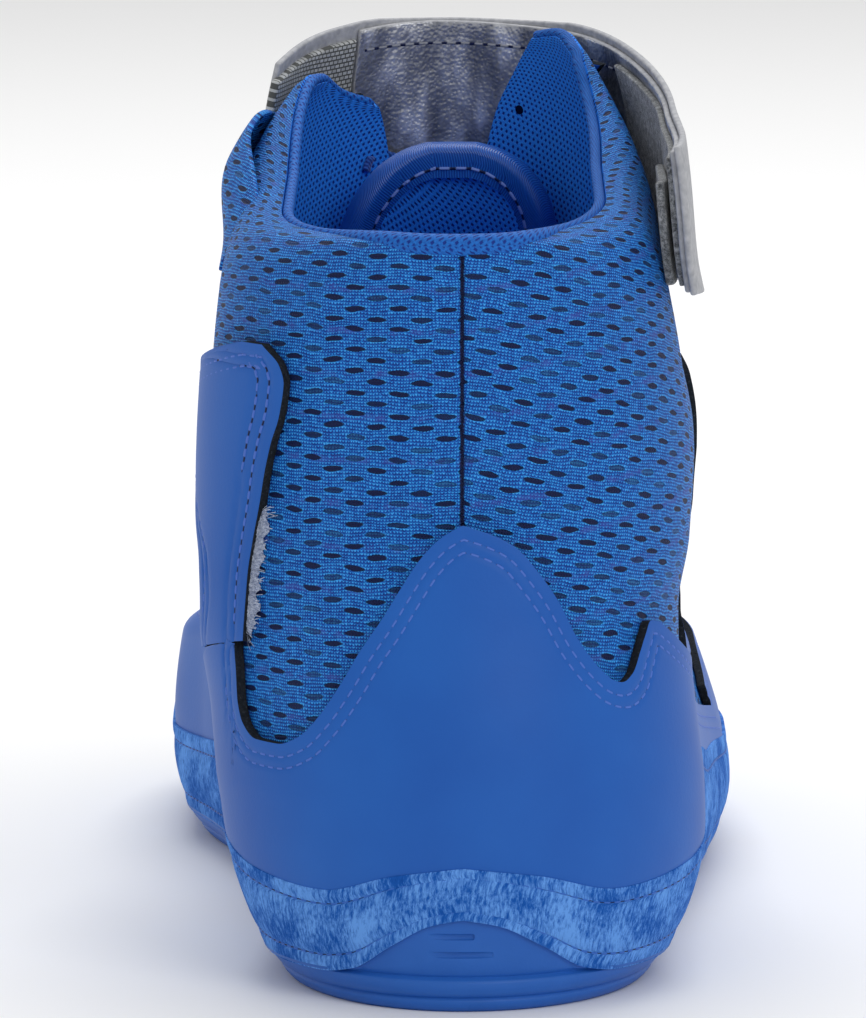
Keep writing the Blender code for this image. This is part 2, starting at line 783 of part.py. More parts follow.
def eyelet_heights():
    low = INSTEP_HEIGHT + 0.14 * (FLAP_HEIGHT - INSTEP_HEIGHT)
    high = INSTEP_HEIGHT + 0.83 * (FLAP_HEIGHT - INSTEP_HEIGHT)
    return np.linspace(low, high, EYELET_PAIRS)


def eyelet_width(z):
    return throat_half(z) + EYELET_INSET


def eyelet_cutter():
    """Round punches through the eyestay and the upper, square to the surface."""
    mesh_data = bmesh.new()
    for z in eyelet_heights():
        for side in (-1, 1):
            width = side * eyelet_width(z)
            inside = over_front(width, z, -3 * UPPER_WALL)
            outside = over_front(width, z, 3 * UPPER_WALL)
            axis = Vector(inside) - Vector(outside)
            turn = axis.to_track_quat("Z", "Y").to_matrix().to_4x4()
            turn.translation = (Vector(inside) + Vector(outside)) / 2
            bmesh.ops.create_cone(
                mesh_data,
                cap_ends=True,
                segments=8,
                radius1=EYELET_DIAMETER / 2,
                radius2=EYELET_DIAMETER / 2,
                depth=axis.length,
                matrix=turn,
            )
    return helper(object_from("eyelet punch", mesh_data, LEATHER_BLUE))


def upper(punch):
    """Padded mesh shell, open at the collar, the throat and underneath."""
    made = sheet("upper", upper_grid(0), UPPER_WALL, MESH_BLUE, inward=True)
    cut(made, punch, "lace holes")
    return made


def upper_form():
    """The upper with the clearance on both faces, which makes room for it in its neighbours."""
    thickness = UPPER_WALL + 2 * CLEARANCE
    return helper(sheet("upper form", upper_grid(CLEARANCE), thickness, MESH_BLUE, inward=True))


def insole():
    """Sock liner inside the feather edge of the upper."""
    turns = ring_turns()
    mesh_data = bmesh.new()
    inner = -UPPER_WALL - 4 * CLEARANCE

    def ring(height):
        z = settle(turns, lambda y: feather_height(y) + height, SOLE_BASE)
        return ring_at(turns, z, inner)

    rows = grid_faces(mesh_data, [ring(0), ring(INSOLE)])
    last = len(turns) - 1
    for column in range(last // 2):
        left, right = column, last - column
        under = (rows[0][left], rows[0][right], rows[0][right - 1], rows[0][left + 1])
        over = (rows[1][left], rows[1][left + 1], rows[1][right - 1], rows[1][right])
        at_back = right - left == 2
        mesh_data.faces.new(under[:3] if at_back else under)
        mesh_data.faces.new(over[:2] + over[3:] if at_back else over)
    return object_from("insole", mesh_data, KNIT_BLUE)


def tongue(form):
    """Padded tongue behind the throat, with a round top that leans back and outwards into the collar."""
    grid = []
    for row in TONGUE:
        z = TONGUE_BASE + row.rise * (TONGUE_HEIGHT - TONGUE_BASE)
        width = np.linspace(-1, 1, 9) * row.half * TONGUE_HALF_WIDTH
        points = over_front(width, z, -UPPER_WALL)
        points[:, 0] += row.lean * TONGUE_SHIFT
        points[:, 1] -= row.lean * TONGUE_LEAN
        grid.append(points[::-1])
    made = sheet("tongue", grid, TONGUE_PADDING, KNIT_BLUE, inward=True)
    cut(made, form, "room for the upper")
    return made


def backed_sheet(name, grid, thickness, surface, form):
    """A piece that lies on the upper: its grid starts under the upper's surface and is cut to fit it."""
    made = sheet(name, grid, UNDERCUT + CLEARANCE + thickness, surface)
    cut(made, form, "room for the upper")
    return made


def suede_rand(form):
    """Suede strip all round, from the rubber wall up over the edge of the leather."""
    turns = ring_turns()
    grid = []
    for share in (0, 0.5, 1):

        def height(y, share=share):
            low = wave_height(turns, y) + CLEARANCE
            return low + share * (rand_top(turns, y) - low)

        grid.append(ring_at(turns, settle(turns, height, SOLE_BASE), -UNDERCUT))
    return backed_sheet("suede_rand", grid, SUEDE, SUEDE_BLUE, form)


def overlay(name, turns, edge, shares, form):
    """Leather that stands on the rand, over a run of columns, up to its own edge."""
    grid = []
    for share in shares:

        def height(y, share=share):
            low = rand_top(turns, y) + CLEARANCE
            return low + share * (edge - low)

        z = settle(turns, height, SOLE_BASE)
        grid.append(raised(skin, turns, z, -UNDERCUT + 0 * turns))
    return backed_sheet(name, grid, LEATHER, LEATHER_BLUE, form)


def heel_counter(form):
    """Leather round the heel, with a peak at the back and a dip on each side."""
    turns = turns_between(-COUNTER_MEDIAL_END * SHOE_LENGTH, COUNTER_LATERAL_END * SHOE_LENGTH)
    distances = signed_distance(turns)
    medial = edge_curve(COUNTER_MEDIAL, COUNTER_HEIGHT)
    lateral = edge_curve(COUNTER_LATERAL, COUNTER_HEIGHT)
    edge = np.where(distances < 0, medial(-distances), lateral(distances))
    return overlay("heel_counter", turns, edge, np.linspace(0, 1, 5), form)


def toe_guard(form):
    """Leather round the forefoot and over the toe, from the heel counter on one side to the other."""
    lateral = edge_curve(GUARD_LATERAL, GUARD_HEIGHT)
    medial = edge_curve(GUARD_MEDIAL, GUARD_HEIGHT)
    counter = turns_between(-COUNTER_MEDIAL_END * SHOE_LENGTH, COUNTER_LATERAL_END * SHOE_LENGTH)
    turns = ring_turns()
    outer = turns[turns >= counter[-1]]
    inner = turns[turns <= counter[0]]
    outer[0] = turn_at(signed_distance(outer[0]) + SEAM_CLEARANCE)
    inner[-1] = turn_at(signed_distance(inner[-1]) - SEAM_CLEARANCE)
    turns = np.concatenate([outer, inner[1:]])
    around = distance_around(turns)
    edge = np.where(turns < 0, medial(around), lateral(around))
    return overlay("toe_guard", turns, edge, (0, 0.3, 0.65, 1), form)


def ankle_panel(name, side, rows, top, lowest, form):
    """Thick leather panel up one side of the ankle, with a round top."""
    grid = []
    heights = [row.height * top for row in rows]
    rear = Curve(heights, [row.rear * SHOE_LENGTH for row in rows])
    front = Curve(heights, [row.front * SHOE_LENGTH for row in rows])
    for z in [lowest] + [height for height in heights if height > lowest + PANEL_LEATHER]:
        y = np.linspace(rear(z), front(z), 5)
        points = beside(side, y, z + 0 * y, -UNDERCUT + 0 * y)
        grid.append(points if side > 0 else points[::-1])
    return backed_sheet(name, grid, PANEL_LEATHER, LEATHER_BLUE, form)


def eyestay(punch, form):
    """Leather facing down one edge of the throat, round its base and up the other edge."""
    shares = np.linspace(0.12, 1, 7) ** 1.1
    base = INSTEP_HEIGHT + 0.11 * (FLAP_HEIGHT - INSTEP_HEIGHT)
    grid = []
    for out in (SEAM_CLEARANCE, 0.5 * EYESTAY_WIDTH, EYESTAY_WIDTH):
        row = []
        for side, rise in ((-1, EYESTAY_MEDIAL_TOP), (1, EYESTAY_LATERAL_TOP)):
            top = COLLAR_HEIGHT + (FLAP_HEIGHT - COLLAR_HEIGHT) * rise
            z = base + (top - base) * shares
            width = side * (throat_half(z) + out)
            points = over_front(width, z, -UNDERCUT)
            row.append(points[::-1] if side < 0 else points)
        angle = np.radians(np.linspace(-75, 75, 7))
        drop = (base - INSTEP_HEIGHT) + (out + SEAM_CLEARANCE) * EYESTAY_BASE_SLANT
        z = base - drop * np.cos(angle)
        width = (throat_half(base) + out) * np.sin(angle)
        turn = over_front(width, z, -UNDERCUT)
        grid.append(np.concatenate([row[0], turn, row[1]]))
    made = backed_sheet("eyestay", grid, LEATHER, LEATHER_BLUE, form)
    cut(made, punch, "lace holes")
    return made


def lace_crossings():
    """One flat lace, crossing between each pair of holes but the top one."""
    heights = eyelet_heights()[:-1]
    under = LEATHER + 4 * CLEARANCE
    parts = []
    for low, high in zip(heights, heights[1:]):
        for number, side in enumerate((-1, 1)):
            share = np.linspace(0, 1, 4)
            z = low + (high - low) * share
            width = -side * eyelet_width(z) * (1 - 2 * share)
            out = under + number * 0.5 * LACE_THICKNESS
            grid = []
            for edge in (-0.5, 0.5):
                shift = edge * LACE_WIDTH
                points = over_front(width, z + shift, out)
                grid.append(points if side < 0 else points[::-1])
            parts.append(sheet("lace_run", grid, LACE_THICKNESS, LACE_BLUE))
    made = parts[0]
    made.name = "lace_crossings"
    for number, other in enumerate(parts[1:]):
        union = made.modifiers.new(f"joined {number}", "BOOLEAN")
        union.operation = "UNION"
        union.solver = "EXACT"
        union.object = helper(other)
    return made


def strap_points(turns, shares):
    """Rows of points of the strap's inner face at turns that run on past the front ridge."""
    places = [-row.turn for row in STRAP_PATH]
    top = Curve(places, [row.top * STRAP_TOP for row in STRAP_PATH])
    width = Curve(places, [row.width * STRAP_WIDTH for row in STRAP_PATH])
    lift = Curve(places, [row.lift * STRAP_STAND_OFF for row in STRAP_PATH])
    real = np.where(turns < -1, turns + 2, turns)
    grid = []
    for share in shares:
        z = top(-turns) - (1 - share) * width(-turns)
        z = np.minimum(z, FLAP_HEIGHT - NORMAL_STEP)
        grid.append(raised(skin, real, z, CLEARANCE + lift(-turns)))
    return grid


def ankle_strap():
    """Metallic strap across the front, fastened over the patch on the outer side."""
    turns = np.linspace(WEBBING_END, STRAP_PATH[-1].turn, 20)
    return sheet("ankle_strap", strap_points(turns, (0, 0.33, 0.66, 1)), STRAP, SILVER, inward=True)


def strap_webbing():
    """Elastic webbing between the anchor on the inner side and the strap."""
    turns = np.linspace(STRAP_PATH[0].turn, WEBBING_END + WEBBING_GAP, 7)
    return sheet("strap_webbing", strap_points(turns, (0.04, 0.5, 0.96)), WEBBING, WEBBING_GREY, inward=True)


def grip_patch(form):
    """The hook patch on the outer side that the strap closes on."""
    turns = np.linspace(*GRIP_PATCH_TURNS, 5)
    grid = []
    for height in GRIP_PATCH_ROWS:
        z = height * FLAP_HEIGHT + 0 * turns
        grid.append(raised(skin, turns, z, -UNDERCUT + 0 * turns))
    return backed_sheet("grip_patch", grid, GRIP_PATCH, GRIP_GREY, form)


def centre_on_origin(objects):
    """Moves every piece so that the middle of the box round the shoe is over the origin."""
    bpy.context.view_layer.update()
    graph = bpy.context.evaluated_depsgraph_get()
    corners = []
    for made in objects:
        evaluated = made.evaluated_get(graph)
        corners.extend(evaluated.matrix_world @ Vector(corner) for corner in evaluated.bound_box)
    low = [min(corner[axis] for corner in corners) for axis in range(3)]
    high = [max(corner[axis] for corner in corners) for axis in range(3)]
    shift = Vector((-(low[0] + high[0]) / 2, -(low[1] + high[1]) / 2, -low[2]))
    for made in bpy.data.objects:
        made.location += shift


for old in list(bpy.data.objects):
    bpy.data.objects.remove(old)

lace_punch = eyelet_cutter()
room = upper_form()
pieces = [
    outsole(room),
    upper(lace_punch),
    insole(),
    tongue(room),
    suede_rand(room),
    heel_counter(room),
    toe_guard(room),
    ankle_panel("ankle_panel_medial", -1, MEDIAL_PANEL, MEDIAL_PANEL_HEIGHT, MEDIAL_PANEL_BASE, room),
    ankle_panel("ankle_panel_lateral", 1, LATERAL_PANEL, LATERAL_PANEL_HEIGHT, LATERAL_PANEL_BASE, room),
    eyestay(lace_punch, room),
    lace_crossings(),
    ankle_strap(),
    strap_webbing(),
    grip_patch(room),
]
centre_on_origin(pieces)
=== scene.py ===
"""Looks of the right wrestling shoe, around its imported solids.

Metres, +Z up, toe towards +Y, outer side of the foot towards +X. The sections follow the shoe as it is put
together.
"""

import math

import bmesh
import bpy
import numpy as np
from mathutils import Matrix, Vector


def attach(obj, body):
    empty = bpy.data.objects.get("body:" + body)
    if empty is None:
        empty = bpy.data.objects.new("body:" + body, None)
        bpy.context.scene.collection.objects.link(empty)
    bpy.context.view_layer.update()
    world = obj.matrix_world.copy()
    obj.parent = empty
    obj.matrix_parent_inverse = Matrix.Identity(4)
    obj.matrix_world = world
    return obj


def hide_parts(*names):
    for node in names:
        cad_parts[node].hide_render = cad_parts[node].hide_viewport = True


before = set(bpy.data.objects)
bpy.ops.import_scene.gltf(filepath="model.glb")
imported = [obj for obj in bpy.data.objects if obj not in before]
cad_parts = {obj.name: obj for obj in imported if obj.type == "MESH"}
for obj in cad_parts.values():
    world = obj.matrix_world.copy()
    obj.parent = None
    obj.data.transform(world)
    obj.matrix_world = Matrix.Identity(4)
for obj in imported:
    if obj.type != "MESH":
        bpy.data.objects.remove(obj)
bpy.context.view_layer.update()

# Camera: level with the calf of a wearer, straight behind the heel and 1.7 m away, so that the shoe shows
# almost without perspective, its back, both sides of the heel and a little of the inside of the collar.
PHOTO_HEIGHT = 1018
FOCAL_PIXELS = 9435
SENSOR = 24
camera = bpy.data.objects.new("camera", bpy.data.cameras.new("camera"))
camera.data.sensor_fit = "VERTICAL"
camera.data.sensor_height = SENSOR
camera.data.lens = SENSOR * FOCAL_PIXELS / PHOTO_HEIGHT
camera.location = (-0.00335, -1.8203, 0.3135)
camera.rotation_euler = (math.radians(90 - 7.55), 0, 0)
bpy.context.scene.collection.objects.link(camera)
bpy.context.scene.camera = camera
bpy.context.scene.view_settings.view_transform = "Standard"

# Upper: a sock of knitted polyester mesh over thin foam, closed by one seam down the back and pulled over the
# last. Its surface is worked out from sections of the last, and every other soft piece lies on that surface.
LENGTH = 0.2935
HEEL_WIDTH = 0.0872
BALL_WIDTH = 0.1075
ANKLE_WIDTH = 0.0900
TOE_HEIGHT = 0.046
INSTEP_HEIGHT = 0.076
COLLAR_HEIGHT = 0.138
FLAP_HEIGHT = 0.168
FLARE_HEIGHT = 0.038
THROAT_WIDTH = 0.0176
SOLE_BASE = 0.005
WALL = 0.0026
LAST_PLACE = np.array((0.00365, -0.147317, 0.0))
HEEL_ROUND = 0.042
TOE_ROUND = 0.046
SHAFT_ROUND = 0.060
GIRTH_HEIGHT = 0.052

# Place along the shoe, then the ridge and the inner and outer wall as shares of the heel's or ball's width
HEEL_PLAN = (
    (0.000, -0.020, -0.500, 0.490),
    (0.155, -0.020, -0.508, 0.500),
    (0.260, -0.032, -0.482, 0.500),
    (0.360, -0.050, -0.455, 0.510),
)
BALL_PLAN = (
    (0.480, -0.062, -0.402, 0.440),
    (0.590, -0.080, -0.470, 0.472),
    (0.680, -0.092, -0.530, 0.476),
    (0.770, -0.115, -0.532, 0.452),
    (0.870, -0.140, -0.510, 0.400),
    (1.000, -0.160, -0.500, 0.330),
)
# Height as a share of the flap's, then the inner and outer wall as shares of the ankle's width
SHAFT = (
    (0.30, -0.530, 0.425),
    (0.40, -0.548, 0.425),
    (0.48, -0.542, 0.450),
    (0.56, -0.540, 0.456),
    (0.68, -0.528, 0.428),
    (0.79, -0.505, 0.392),
    (0.90, -0.475, 0.372),
    (1.00, -0.420, 0.320),
)
# Height as a share of the flare's, then how far the heel and the ball stand out
FLARE = (
    (0.00, 0.71, 0.86),
    (0.08, 0.752, 0.90),
    (0.20, 0.815, 0.945),
    (0.44, 0.905, 0.99),
    (0.70, 0.97, 1.00),
    (1.00, 1.00, 1.00),
)
# Rise from one level to the next, and place along the shoe, for the front ridge and the back seam
TOE_RIDGE = (
    (0.00, 0.962), (0.09, 0.975), (0.22, 0.991), (0.40, 1.0), (0.61, 0.995), (0.83, 0.968), (1.0, 0.92),
)
VAMP_RIDGE = ((0.23, 0.852), (0.47, 0.777), (0.73, 0.709), (1.00, 0.654))
SHAFT_RIDGE = ((0.155, 0.578), (0.31, 0.528), (0.49, 0.493), (0.71, 0.470), (1.00, 0.455))
BACK_SEAM = (
    (0.00, 0.011), (0.03, 0.010), (0.11, 0.008), (0.20, 0.005), (0.33, 0.010),
    (0.51, 0.031), (0.69, 0.047), (0.83, 0.050), (1.00, 0.034),
)
# Place along the shoe, then the rise of the collar's edge on the inner and outer side
TOPLINE = (
    (0.030, 0.00, 0.00), (0.136, 0.08, 0.13), (0.240, 0.25, 0.29), (0.313, 0.54, 0.55), (0.345, 0.68, 0.74),
    (0.372, 0.76, 0.96), (0.395, 0.74, 1.00), (0.426, 0.60, 0.97), (0.470, 0.45, 0.90),
)
THROAT = (
    (0.00, 0.00), (0.05, 0.62), (0.11, 0.88), (0.20, 0.97), (0.50, 1.00),
    (0.72, 1.16), (0.83, 1.42), (0.91, 1.80), (1.00, 2.25),
)


class Curve:
    """A smooth curve through points in order, which never swings past them."""

    def __init__(self, rows):
        self.places, self.values = np.array(rows, float).T
        slopes = np.diff(self.values) / np.diff(self.places)
        inner = np.zeros(len(slopes) - 1)
        same = slopes[1:] * slopes[:-1] > 0
        inner[same] = 2 * slopes[1:][same] * slopes[:-1][same] / (slopes[1:] + slopes[:-1])[same]
        self.tangents = np.concatenate([slopes[:1], inner, slopes[-1:]])

    def __call__(self, place):
        place = np.clip(place, self.places[0], self.places[-1])
        index = np.clip(np.searchsorted(self.places, place, side="right") - 1, 0, len(self.places) - 2)
        span = self.places[index + 1] - self.places[index]
        part = (place - self.places[index]) / span
        start, end = self.values[index], self.values[index + 1]
        bend_in, bend_out = self.tangents[index] * span, self.tangents[index + 1] * span
        return (
            start * (1 + 2 * part) * (1 - part) ** 2
            + bend_in * part * (1 - part) ** 2
            + end * part**2 * (3 - 2 * part)
            + bend_out * part**2 * (part - 1)
        )


def ease(value, low, high):
    share = np.clip((value - low) / (high - low), 0, 1)
    return share * share * (3 - 2 * share)


def rounded(share):
    return np.sqrt(1 - (1 - np.clip(share, 0, 1)) ** 2)


def between(rows, low, high):
    """Rows of a table whose rises run from one height to the next."""
    return [(low + rise * (high - low), along * LENGTH) for rise, along in rows]


ridge = Curve(
    between(TOE_RIDGE, 0, TOE_HEIGHT)
    + between(VAMP_RIDGE, TOE_HEIGHT, INSTEP_HEIGHT)
    + between(SHAFT_RIDGE, INSTEP_HEIGHT, FLAP_HEIGHT)
)
back_seam = Curve(between(BACK_SEAM, 0, COLLAR_HEIGHT))
sized_plan = [(row[0] * LENGTH, *(HEEL_WIDTH * share for share in row[1:])) for row in HEEL_PLAN]
sized_plan += [(row[0] * LENGTH, *(BALL_WIDTH * share for share in row[1:])) for row in BALL_PLAN]
plan_ridge = Curve([(row[0], row[1]) for row in sized_plan])
plan_walls = [Curve([(row[0], row[number]) for row in sized_plan]) for number in (2, 3)]
shaft_walls = [
    Curve([(row[0] * FLAP_HEIGHT, row[number] * ANKLE_WIDTH) for row in SHAFT]) for number in (1, 2)
]
flare_heel, flare_ball = (Curve([(row[0] * FLARE_HEIGHT, row[number]) for row in FLARE]) for number in (1, 2))
top_rises = [Curve([(row[0] * LENGTH, row[number]) for row in TOPLINE]) for number in (1, 2)]
throat_share = Curve([(INSTEP_HEIGHT + rise * (FLAP_HEIGHT - INSTEP_HEIGHT), half) for rise, half in THROAT])


def half_width(side, y, z):
    """Distance from the ridge line to the side wall, before the round ends are taken off."""
    mix = np.where(side < 0, ease(z, 0.025, 0.080), ease(z, 0.008, 0.065))
    low = np.where(side < 0, plan_walls[0](y), plan_walls[1](y))
    high = np.where(side < 0, shaft_walls[0](z), shaft_walls[1](z))
    flare = flare_heel(z) + (flare_ball(z) - flare_heel(z)) * ease(y, 0.20 * LENGTH, 0.48 * LENGTH)
    return np.abs(low + (high - low) * mix - plan_ridge(y)) * flare


def steepness(z):
    slope = (ridge(z + 0.0004) - ridge(z - 0.0004)) / 0.0008
    return 1 / np.sqrt(1 + slope**2)


def front_round(z):
    return TOE_ROUND + (SHAFT_ROUND - TOE_ROUND) * ease(z, INSTEP_HEIGHT, COLLAR_HEIGHT)


def on_side(side, y, z):
    width = half_width(side, y, z) * rounded((y - back_seam(z)) / HEEL_ROUND)
    width = width * rounded((ridge(z) - y) * steepness(z) / front_round(z))
    return np.stack(np.broadcast_arrays(plan_ridge(y) + side * width, y, z), -1) + LAST_PLACE


def set_back(side, width, z):
    """How far behind the ridge the surface is this wide."""
    y = ridge(z)
    for _ in range(3):
        share = np.clip(width / half_width(side, y, z), 0, 0.999)
        y = ridge(z) - (1 - np.sqrt(1 - share**2)) * front_round(z) / steepness(z)
    return ridge(z) - y


def throat_half(z):
    return throat_share(z) * THROAT_WIDTH / 2


def last(turn, z, throat):
    """The last's surface: turn runs from -1 at the ridge over the inner side and 0 at the back to +1."""
    side = np.where(turn < 0, -1, 1)
    front = ridge(z)
    if throat:
        front = front - set_back(side, throat_half(z), z)
    y = back_seam(z) + (front - back_seam(z)) * (1 - np.cos(np.pi * np.abs(turn))) / 2
    return on_side(side, y, z)


def across(width, z):
    """The last's surface by the distance to one side of the ridge."""
    side = np.where(width < 0, -1, 1)
    y = ridge(z) - set_back(side, np.abs(width), z)
    return np.stack([plan_ridge(y) + width, y, z], -1) + LAST_PLACE


def unit(vectors):
    return vectors / np.linalg.norm(vectors, axis=-1, keepdims=True)


def raised(surface, first, z, out, *more):
    """Points of a surface moved out along its normals."""
    first, z, out = np.broadcast_arrays(*(np.asarray(one, float) for one in (first, z, out)))
    step = 0.0004
    left, right = np.maximum(first - step, -1), np.minimum(first + step, 1)
    run = surface(right, z, *more) - surface(left, z, *more)
    rise = surface(first, z + step, *more) - surface(first, z - step, *more)
    return surface(first, z, *more) + unit(np.cross(run, rise)) * out[..., None]


def skin(turn, z, out=0.0, throat=False):
    return raised(last, turn, z, out, throat)


def over_front(width, z, out):
    """A point over the front ridge; across runs against the turn, so its normal points inward."""
    return raised(across, width, z, -np.asarray(out, float))


def beside(side, y, z, out):
    """A point over one side by its place along the shoe."""
    y, z = np.broadcast_arrays(y, z)
    step = 0.0004
    run = on_side(side, y + side * step, z) - on_side(side, y - side * step, z)
    rise = on_side(side, y, z + step) - on_side(side, y, z - step)
    return on_side(side, y, z) + unit(np.cross(run, rise)) * np.broadcast_to(out, y.shape)[..., None]


def floor_gap(y):
    """The arch and the toe spring above the floor, by the place along the last."""
    share = y / LENGTH
    arch = np.sin(np.pi * np.clip((share - 0.28) / 0.155, 0, 1)) ** 2 * 0.0035
    return arch + np.clip((share - 0.79) / 0.21, 0, 1) ** 1.6 * 0.011


def settle(turn, height_at, throat=False):
    """Heights that follow the place along the shoe, where that place follows the height in turn."""
    z = np.zeros_like(turn) + SOLE_BASE
    for _ in range(5):
        z = height_at(skin(turn, z, 0.0, throat)[..., 1] - LAST_PLACE[1])
    return z


def way_along(line):
    """The way from the start of a line to each of its points."""
    return np.concatenate([[0], np.cumsum(np.linalg.norm(np.diff(line, axis=0), axis=1))])


GIRTH_TURNS = np.linspace(0, 1, 401)
girths = [way_along(skin(GIRTH_TURNS * side, GIRTH_HEIGHT)) for side in (-1, 1)]


def turn_at(distance):
    """The turn this far around the shoe from the back seam; the inner side is negative."""
    inner = -np.interp(np.abs(distance), girths[0], GIRTH_TURNS)
    return np.where(distance < 0, inner, np.interp(np.abs(distance), girths[1], GIRTH_TURNS))


def distance_at(turn):
    inner = -np.interp(np.abs(turn), GIRTH_TURNS, girths[0])
    return np.where(turn < 0, inner, np.interp(np.abs(turn), GIRTH_TURNS, girths[1]))


def arc(points, axis):
    """Distance along the rows or the columns of a grid of points, in millimetres."""
    steps = np.linalg.norm(np.diff(points, axis=axis), axis=2)
    pad = [(0, 0), (0, 0)]
    pad[axis] = (1, 0)
    return np.pad(np.cumsum(steps, axis=axis), pad) * 1000


def piece(name, mesh, *materials):
    """A bmesh as an object that rides on the shoe."""
    data = bpy.data.meshes.new(name)
    mesh.to_mesh(data)
    mesh.free()
    for one in materials:
        data.materials.append(one)
    made = bpy.data.objects.new(name, data)
    bpy.context.scene.collection.objects.link(made)
    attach(made, "root")
    return made


def settle_mesh(made):
    """Makes a piece's modifiers part of its mesh, and shades it."""
    bpy.context.view_layer.update()
    data = bpy.data.meshes.new_from_object(made.evaluated_get(bpy.context.evaluated_depsgraph_get()))
    made.modifiers.clear()
    made.data = data
    data.shade_smooth()
    data.set_sharp_from_angle(angle=math.radians(50))


def grid_on(points, flat):
    """A flat grid moved onto rows and columns of points, with its place on the flat piece as its UV map."""
    rows, columns = points.shape[:2]
    mesh = bmesh.new()
    layer = mesh.loops.layers.uv.new("flat")
    bmesh.ops.create_grid(mesh, x_segments=columns - 1, y_segments=rows - 1, size=0.5)
    place = np.array([vertex.co[:2] for vertex in mesh.verts]) + 0.5
    column = np.rint(place[:, 0] * (columns - 1)).astype(int)
    row = np.rint(place[:, 1] * (rows - 1)).astype(int)
    mesh.verts.index_update()
    for vertex, point in zip(mesh.verts, points[row, column]):
        vertex.co = point
    spots = flat[row, column]
    for face in mesh.faces:
        for loop in face.loops:
            loop[layer].uv = spots[loop.vert.index]
    bmesh.ops.remove_doubles(mesh, verts=mesh.verts, dist=1e-6)
    return mesh


def flat_places(points):
    """Where each point of a grid lies on the flat piece, in millimetres."""
    return np.stack([arc(points, 1), arc(points, 0)], -1)


def cloth(name, points, thickness, materials, soft=0.0004, inward=False, rounds=2, flat=None):
    """A piece of sheet: its grid gets the thickness and soft edges. The second material is the cut edge's."""
    made = piece(name, grid_on(points, flat_places(points) if flat is None else flat), *materials)
    solid = made.modifiers.new("thickness", "SOLIDIFY")
    solid.thickness = thickness
    solid.offset = -1 if inward else 1
    solid.material_offset_rim = min(1, len(materials) - 1)
    solid.material_offset = len(materials) - 1 if len(materials) > 2 else 0
    if soft:
        edges = made.modifiers.new("soft edges", "BEVEL")
        edges.width = soft
        edges.segments = rounds
        edges.limit_method = "ANGLE"
        edges.angle_limit = math.radians(60)
    settle_mesh(made)
    return made


def linear(hex_colour):
    """An sRGB hex colour as linear values."""
    parts = [int(hex_colour[i : i + 2], 16) / 255 for i in (1, 3, 5)]
    return (*(part / 12.92 if part <= 0.04045 else ((part + 0.055) / 1.055) ** 2.4 for part in parts), 1)


def add(tree, kind, inputs=None, stops=None, **settings):
    """Adds a node, with its settings, its colour stops and what goes into each socket."""
    made = tree.nodes.new("ShaderNode" + kind)
    for name, value in settings.items():
        setattr(made, name, value)
    for socket, value in (inputs or {}).items():
        if isinstance(value, bpy.types.Node):
            value = value.outputs[0]
        if isinstance(value, bpy.types.NodeSocket):
            tree.links.new(value, made.inputs[socket])
        else:
            made.inputs[socket].default_value = value
    for number, (place, colour) in enumerate(stops or ()):
        stop = made.color_ramp.elements[number] if number < 2 else made.color_ramp.elements.new(place)
        stop.position = place
        stop.color = linear(colour)
    return made


def material(name, values):
    """A material whose shader has these values on its own sockets."""
    made = bpy.data.materials.new(name)
    made.use_nodes = True
    shader = made.node_tree.nodes["Principled BSDF"]
    for socket, value in values.items():
        shader.inputs[socket].default_value = value
    return made, made.node_tree, shader


def dress(tree, shader, colour, relief, **settings):
    """Gives a material its colour, and its relief by the sockets of a bump node."""
    bump = add(tree, "Bump", relief, **settings)
    tree.links.new(colour, shader.inputs["Base Color"])
    tree.links.new(bump.outputs[0], shader.inputs["Normal"])


# Knitted polyester mesh: smooth filament in small loops, each painted lighter in its middle and darker at its
# edges with a random glint per stitch, as painted highlight and painted shade. A staggered hole every 4 mm
# shows the dark foam, darkened further with painted shade, and a purple thread runs every 8 mm. The outer
# half is cut
# 10 degrees off the straight.
HOLE_SPACING = 4.25
HOLE_PITCH = 3.95
HOLE_WIDTH = 1.90
HOLE_HEIGHT = 0.52
LOOP = 0.58
CUT_ANGLE = 0.17


def staggered(tree, spot, width, height, shift=0.0):
    """A staggered pattern: the numbers of column and row, and how far off a cell's middle a point is."""
    column = add(tree, "Math", {0: spot.outputs[0], 1: 1 / width, 2: shift}, operation="MULTIPLY_ADD")
    column_number = add(tree, "Math", {0: column}, operation="ROUND")
    aside = add(tree, "Math", {0: column, 1: column_number}, operation="SUBTRACT")
    odd = add(tree, "Math", {0: column_number, 1: 1.0}, operation="PINGPONG")
    row = add(tree, "Math", {0: spot.outputs[1], 1: 1 / height}, operation="MULTIPLY")
    row = add(tree, "Math", {0: odd, 1: 0.5, 2: row}, operation="MULTIPLY_ADD")
    row_number = add(tree, "Math", {0: row}, operation="ROUND")
    above = add(tree, "Math", {0: row, 1: row_number}, operation="SUBTRACT")
    aside, above = (add(tree, "Math", {0: gap}, operation="ABSOLUTE") for gap in (aside, above))
    return column_number, row_number, aside, above


knit_mesh, tree, shader = material("knitted polyester mesh", {"Roughness": 0.5, "Specular IOR Level": 0.2})
flat_place = add(tree, "UVMap", uv_map="flat")
flat_spot = add(tree, "SeparateXYZ", {0: flat_place})
outer_half = add(tree, "Math", {0: flat_spot.outputs[0], 1: 0.0}, operation="GREATER_THAN")
slant = add(tree, "Math", {0: outer_half, 1: CUT_ANGLE}, operation="MULTIPLY")
wander = add(tree, "TexNoise", {"Vector": flat_place, "Scale": 0.16, "Detail": 3.0})
wander = add(tree, "VectorMath", {0: wander.outputs["Color"], 1: (1.8, 1.5, 0)}, operation="MULTIPLY")
cut = add(tree, "VectorRotate", {"Vector": flat_place, "Angle": slant}, rotation_type="Z_AXIS")
knit_place = add(tree, "VectorMath", {0: cut, 1: wander}, operation="ADD")
spot = add(tree, "SeparateXYZ", {0: knit_place})
